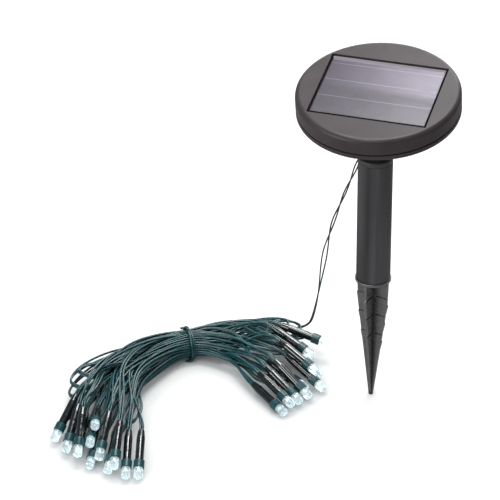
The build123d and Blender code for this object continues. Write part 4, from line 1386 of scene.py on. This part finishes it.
@dataclass
class Core:
    """The metal inside each clear lens: a reflector cup on one post, and a second post beside it.

    Attributes:
        wardrobe: the finishes.
        cup_radius: radius of the cup, mm.
        cup_depth: from the cup's rim to its foot, mm.
        wall: width of the cup's rim, mm.
        bowl: how deep the cup is hollowed, mm, and the bowl's foot as a share of its mouth.
        rim_behind: how far the rim lies behind the lens's tip, mm.
        posts: how far to the side of the axis the cup's post and the other one stand, mm.
        post: width of a post, mm.
        foot_behind: how far behind the tip the posts go, mm.
        overlap: how far the cup's post reaches into it, mm.
        bevel: width of the bevel round a post's top, mm.
    """

    wardrobe: Wardrobe
    cup_radius: float = 1.15
    cup_depth: float = 1.3
    wall: float = 0.2
    bowl: tuple[float, float] = (0.75, 0.45)
    rim_behind: float = 3.9
    posts: tuple[float, float] = (-0.35, 1.5)
    post: float = 0.5
    foot_behind: float = 7.4
    overlap: float = 0.1
    bevel: float = 0.12

    def model(self) -> bpy.types.Mesh:
        """Model one core along +Z, with the lens's tip at the origin.

        Returns:
            The core's mesh.
        """
        deselect()
        rim = -self.rim_behind * MM
        bpy.ops.mesh.primitive_cylinder_add(
            vertices=16,
            radius=self.cup_radius * MM,
            depth=self.cup_depth * MM,
            location=(0, 0, rim - self.cup_depth * MM / 2),
        )
        cup = bpy.context.object
        bpy.ops.object.transform_apply(location=True, rotation=True, scale=True)
        self.on_top(cup, rim)
        bpy.ops.mesh.inset(thickness=self.wall * MM)
        bpy.ops.mesh.extrude_region_move(TRANSFORM_OT_translate={"value": (0, 0, -self.bowl[0] * MM)})
        bpy.ops.transform.resize(value=(self.bowl[1], self.bowl[1], 1.0))
        bpy.ops.mesh.select_all(action="SELECT")
        bpy.ops.mesh.normals_make_consistent(inside=False)
        bpy.ops.object.mode_set(mode="OBJECT")
        tops = (self.rim_behind + self.cup_depth - self.overlap, self.rim_behind + self.overlap)
        posts = [self.post_at(side, top) for side, top in zip(self.posts, tops)]
        deselect()
        for thing in [cup, *posts]:
            thing.select_set(True)
        bpy.context.view_layer.objects.active = cup
        bpy.ops.object.join()
        bpy.ops.object.shade_smooth_by_angle(angle=math.radians(35))
        mesh = cup.data
        bpy.data.objects.remove(cup)
        mesh.materials.clear()
        mesh.materials.append(self.wardrobe.get(CHIP))
        return mesh

    def on_top(self, thing: bpy.types.Object, height: float) -> None:
        """Enter edit mode with only the faces at a height selected.

        Args:
            thing: the object to edit.
            height: the faces' height, m.
        """
        bpy.ops.object.mode_set(mode="EDIT")
        bpy.ops.mesh.select_mode(type="FACE")
        bpy.ops.mesh.select_all(action="DESELECT")
        bpy.ops.object.mode_set(mode="OBJECT")
        for face in thing.data.polygons:
            face.select = all(abs(thing.data.vertices[v].co.z - height) < 0.01 * MM for v in face.vertices)
        bpy.ops.object.mode_set(mode="EDIT")

    def post_at(self, side: float, top: float) -> bpy.types.Object:
        """Model one post, with its top bevelled.

        Args:
            side: its middle's distance from the axis, mm.
            top: how far behind the tip it starts, mm.

        Returns:
            The post.
        """
        deselect()
        length = self.foot_behind - top
        bpy.ops.mesh.primitive_cube_add(size=1.0, location=(side * MM, 0, -(top + length / 2) * MM))
        post = bpy.context.object
        post.scale = (self.post * MM, self.post * MM, length * MM)
        bpy.ops.object.transform_apply(location=True, rotation=True, scale=True)
        self.on_top(post, -top * MM)
        bpy.ops.mesh.bevel(offset=self.bevel * MM, segments=2)
        bpy.ops.object.mode_set(mode="OBJECT")
        return post

    def build(self, lights: list[Light]) -> None:
        """Put a core in each lens.

        Args:
            lights: the string's lights.
        """
        mesh = self.model()
        counts = {side: 0 for side in Side}
        for light in lights:
            counts[light.side] += 1
            own = mesh.copy()
            own.name = f"led_core_{light.side.value}_{counts[light.side]:02d}"
            turn = light.out().to_track_quat("Z", "Y").to_matrix().to_4x4()
            own.transform(Matrix.Translation(Vector(light.tip) * MM) @ turn)
            piece = bpy.data.objects.new(own.name, own)
            bpy.context.scene.collection.objects.link(piece)
            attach(piece, "stake")
        bpy.data.meshes.remove(mesh)
        LOG.info("light cores: %d", len(lights))


# ---------------------------------------------------------------- studio


@dataclass(frozen=True)
class Softbox:
    """One soft lamp.

    Attributes:
        name: its name.
        place: where it stands, m.
        aim: the point it faces, m.
        size: width and height, m.
        power: W.
    """

    name: str
    place: Triple
    aim: Triple
    size: tuple[float, float]
    power: float

    def build(self) -> None:
        """Make the lamp."""
        lamp = bpy.data.lights.new(self.name, "AREA")
        lamp.shape = "RECTANGLE"
        lamp.size, lamp.size_y = self.size
        lamp.energy = self.power
        holder = bpy.data.objects.new(self.name, lamp)
        bpy.context.scene.collection.objects.link(holder)
        holder.location = self.place
        facing = Vector(self.aim) - Vector(self.place)
        holder.rotation_euler = facing.to_track_quat("-Z", "Y").to_euler()
        holder.visible_camera = False


@dataclass
class Studio:
    """White floor, soft lamps, pale surroundings and the camera.

    Attributes:
        floor_size: side of the square floor, m.
        floor_lift: how much whiter the floor is to the eye than its light makes it.
        nook: how far from the object the floor's painted shadow reaches, m.
        surround: how brightly the surroundings light the object.
        shine: how bright they are in reflections.
        lamps: the soft lamps.
        azimuth: the camera's turn round the object, degrees.
        elevation: the camera's height angle, degrees.
        roll: the camera's roll, degrees.
        distance: from the camera to the point it is set up on, mm.
        offset: how far the camera is moved right and up in its own plane, mm.
        centre: the point it is set up on, mm.
        sensor: width of the camera's sensor, mm.
        focal: focal length as a multiple of that width.
    """

    floor_size: float = 6.0
    floor_lift: float = 0.74
    nook: float = 0.03
    surround: float = 0.26
    shine: float = 0.18
    lamps: tuple[Softbox, ...] = (
        Softbox("back_softbox", (0.02, 0.30, 0.56), (0.02, 0.0, 0.20), (0.22, 0.30), 0.9),
        Softbox("far_softbox", (-0.10, 1.10, 0.55), (-0.02, 0.0, 0.15), (1.0, 0.4), 5.5),
        Softbox("overhead_softbox", (-0.11, 0.20, 1.08), (-0.06, -0.02, 0.05), (0.46, 0.24), 6.5),
        Softbox("front_softbox", (-0.08, -0.42, 1.00), (-0.02, -0.02, 0.12), (0.36, 0.24), 2.5),
        Softbox("low_softbox", (-0.75, -0.95, 0.45), (-0.03, 0.0, 0.10), (0.7, 0.5), 6.5),
    )
    azimuth: float = 17.64
    elevation: float = 31.56
    roll: float = -0.61
    distance: float = 1398.6
    offset: tuple[float, float] = (-72.83, -89.72)
    centre: Triple = (0.0, 3.0, 206.21)
    sensor: float = 36.0
    focal: float = 4.92416

    def build(self) -> None:
        """Make the camera, the floor, the surroundings and the lamps."""
        self.set_camera()
        self.lay_floor()
        self.set_surroundings()
        for lamp in self.lamps:
            lamp.build()
        bpy.context.scene.view_settings.view_transform = "Standard"
        LOG.info("studio: %d lamps", len(self.lamps))

    def set_camera(self) -> None:
        """Stand the camera at its angle."""
        turn, rise, roll = (math.radians(a) for a in (self.azimuth, self.elevation, self.roll))
        back = Vector((math.sin(turn) * math.cos(rise), -math.cos(turn) * math.cos(rise), math.sin(rise)))
        level = Vector((math.cos(turn), math.sin(turn), 0))
        upright = back.cross(level)
        right = level * math.cos(roll) + upright * math.sin(roll)
        up = upright * math.cos(roll) - level * math.sin(roll)
        place = Vector(self.centre) + back * self.distance + right * self.offset[0] + up * self.offset[1]
        lens = bpy.data.cameras.new("camera")
        lens.sensor_width = self.sensor
        lens.lens = self.sensor * self.focal
        lens.clip_start, lens.clip_end = 0.05, 50.0
        camera = bpy.data.objects.new("camera", lens)
        bpy.context.scene.collection.objects.link(camera)
        turned = Matrix((right, up, back)).transposed().to_4x4()
        camera.matrix_world = Matrix.Translation(place * MM) @ turned
        bpy.context.scene.camera = camera

    def lay_floor(self) -> None:
        """Lay a white floor that is paper white to the eye, takes the lamps' soft shadow, and has a painted
        shadow near the object.
        """
        deselect()
        bpy.ops.mesh.primitive_plane_add(size=self.floor_size, location=(0, 0, 0))
        floor = bpy.context.object
        floor.name = "studio_floor"
        material, tree, _ = start_material("paper_matt_white")
        rays = add(tree, "ShaderNodeLightPath")
        # Painted shadow: the floor's white lift darkens where the object stands near, drawn from occlusion.
        nook = add(tree, "ShaderNodeAmbientOcclusion", {"Distance": self.nook}, samples=12)
        stops = [(0.0, linear("1A1C1E")), (0.5, linear("A2A6A7")), (1.0, linear("FFFFFF"))]
        shade = add(tree, "ShaderNodeValToRGB", {"Fac": nook.outputs["AO"]}, stops)
        paper = linear("F4F4F4")
        for ray, code in (("Is Glossy Ray", "7A7A7A"), ("Is Camera Ray", "A8A8A8")):
            duller = {0: rays.outputs[ray], 6: paper, 7: linear(code)}
            paper = add(tree, "ShaderNodeMix", duller, data_type="RGBA")
        matt = {"Base Color": paper, "Roughness": 0.9, "Specular IOR Level": 0.1}
        shader = add(tree, "ShaderNodeBsdfPrincipled", matt)
        seen = {0: self.seen(tree, rays), 1: self.floor_lift}
        lift = add(tree, "ShaderNodeMath", seen, operation="MULTIPLY")
        white = add(tree, "ShaderNodeEmission", {"Color": shade, "Strength": lift})
        both = add(tree, "ShaderNodeAddShader", {0: shader, 1: white})
        add(tree, "ShaderNodeOutputMaterial", {"Surface": both})
        floor.data.materials.append(material)

    def seen(self, tree: Tree, rays: Node) -> Node:
        """Give 1 for camera and transmission rays, a part for glossy rays, and 0 for the rest.

        Args:
            tree: the node tree that takes the nodes.
            rays: the node that tells the rays apart.

        Returns:
            The node that gives the share.
        """
        glossy = {0: rays.outputs["Is Glossy Ray"], 1: self.shine}
        part = add(tree, "ShaderNodeMath", glossy, operation="MULTIPLY")
        some = add(tree, "ShaderNodeMath", {0: rays.outputs["Is Camera Ray"], 1: part}, operation="MAXIMUM")
        every = {0: some, 1: rays.outputs["Is Transmission Ray"]}
        return add(tree, "ShaderNodeMath", every, operation="MAXIMUM")

    def set_surroundings(self) -> None:
        """Make the surroundings white to the eye and to reflections, and softer as light."""
        world = bpy.data.worlds.new("studio_surround")
        bpy.context.scene.world = world
        world.use_nodes = True
        tree = world.node_tree
        tree.nodes.clear()
        rays = add(tree, "ShaderNodeLightPath")
        light, shine, white = (
            add(tree, "ShaderNodeBackground", {"Color": linear("FFFFFF"), "Strength": strength})
            for strength in (self.surround, self.shine, 1.0)
        )
        some = add(tree, "ShaderNodeMixShader", {0: rays.outputs["Is Glossy Ray"], 1: light, 2: shine})
        eyes = {0: rays.outputs["Is Camera Ray"], 1: rays.outputs["Is Transmission Ray"]}
        through = add(tree, "ShaderNodeMath", eyes, operation="MAXIMUM")
        both = add(tree, "ShaderNodeMixShader", {0: through, 1: some, 2: white})
        add(tree, "ShaderNodeOutputWorld", {"Surface": both})


LIGHTS = [
    Light(side, (x, y, z), heading, dip)
    for side, rows in (
        (Side.LEFT, (
            (-166, -106, 4, -99, 27), (-155, -115, 4.5, -85, 23), (-148, -114, 3.5, -79, 13),
            (-145, -121.5, 8, -77, 24), (-139, -107, 20, -72, -16), (-139, -116, 13.5, -73, -10),
            (-137, -124, 3.5, -82, 6), (-132, -121, 8, -83, 23), (-125, -126, 3.5, -83, 19),
            (-120, -128, 9, -78, 22), (-113, -128, 3.5, -75, 22), (-106, -126, 3.5, -75, 22),
        )),
        (Side.RIGHT, (
            (-34, 26, 13, -4, 12), (-45, 23, 4, -20, 14), (-33, 1, 5, -26, 20), (-27, -9, 3.5, -25, 20),
            (-33, -20, 4, -28, 23), (-37, -27, 4, -31, 19), (-40, -34, 6, -34, 12), (-43, -40, 3.5, -37, 6),
            (-36, 9, 3.5, -18, 10), (-32, -6, 13, -26, 16), (-38, -11, 3.5, -26, 10), (-41, 15, 10, -20, 16),
        )),
    )
    for x, y, z, heading, dip in rows
]


def main() -> None:
    """Build everything in order."""
    logging.basicConfig(level=logging.INFO, format="%(message)s")
    wardrobe = Wardrobe()
    Studio().build()
    lead = Lead(wardrobe)
    lead.build()
    Hank(wardrobe, lead.ends).build(LIGHTS)
    Tie(wardrobe).build()
    Core(wardrobe).build(LIGHTS)
    wardrobe.dress_nodes()


if __name__ == "__main__":
    main()
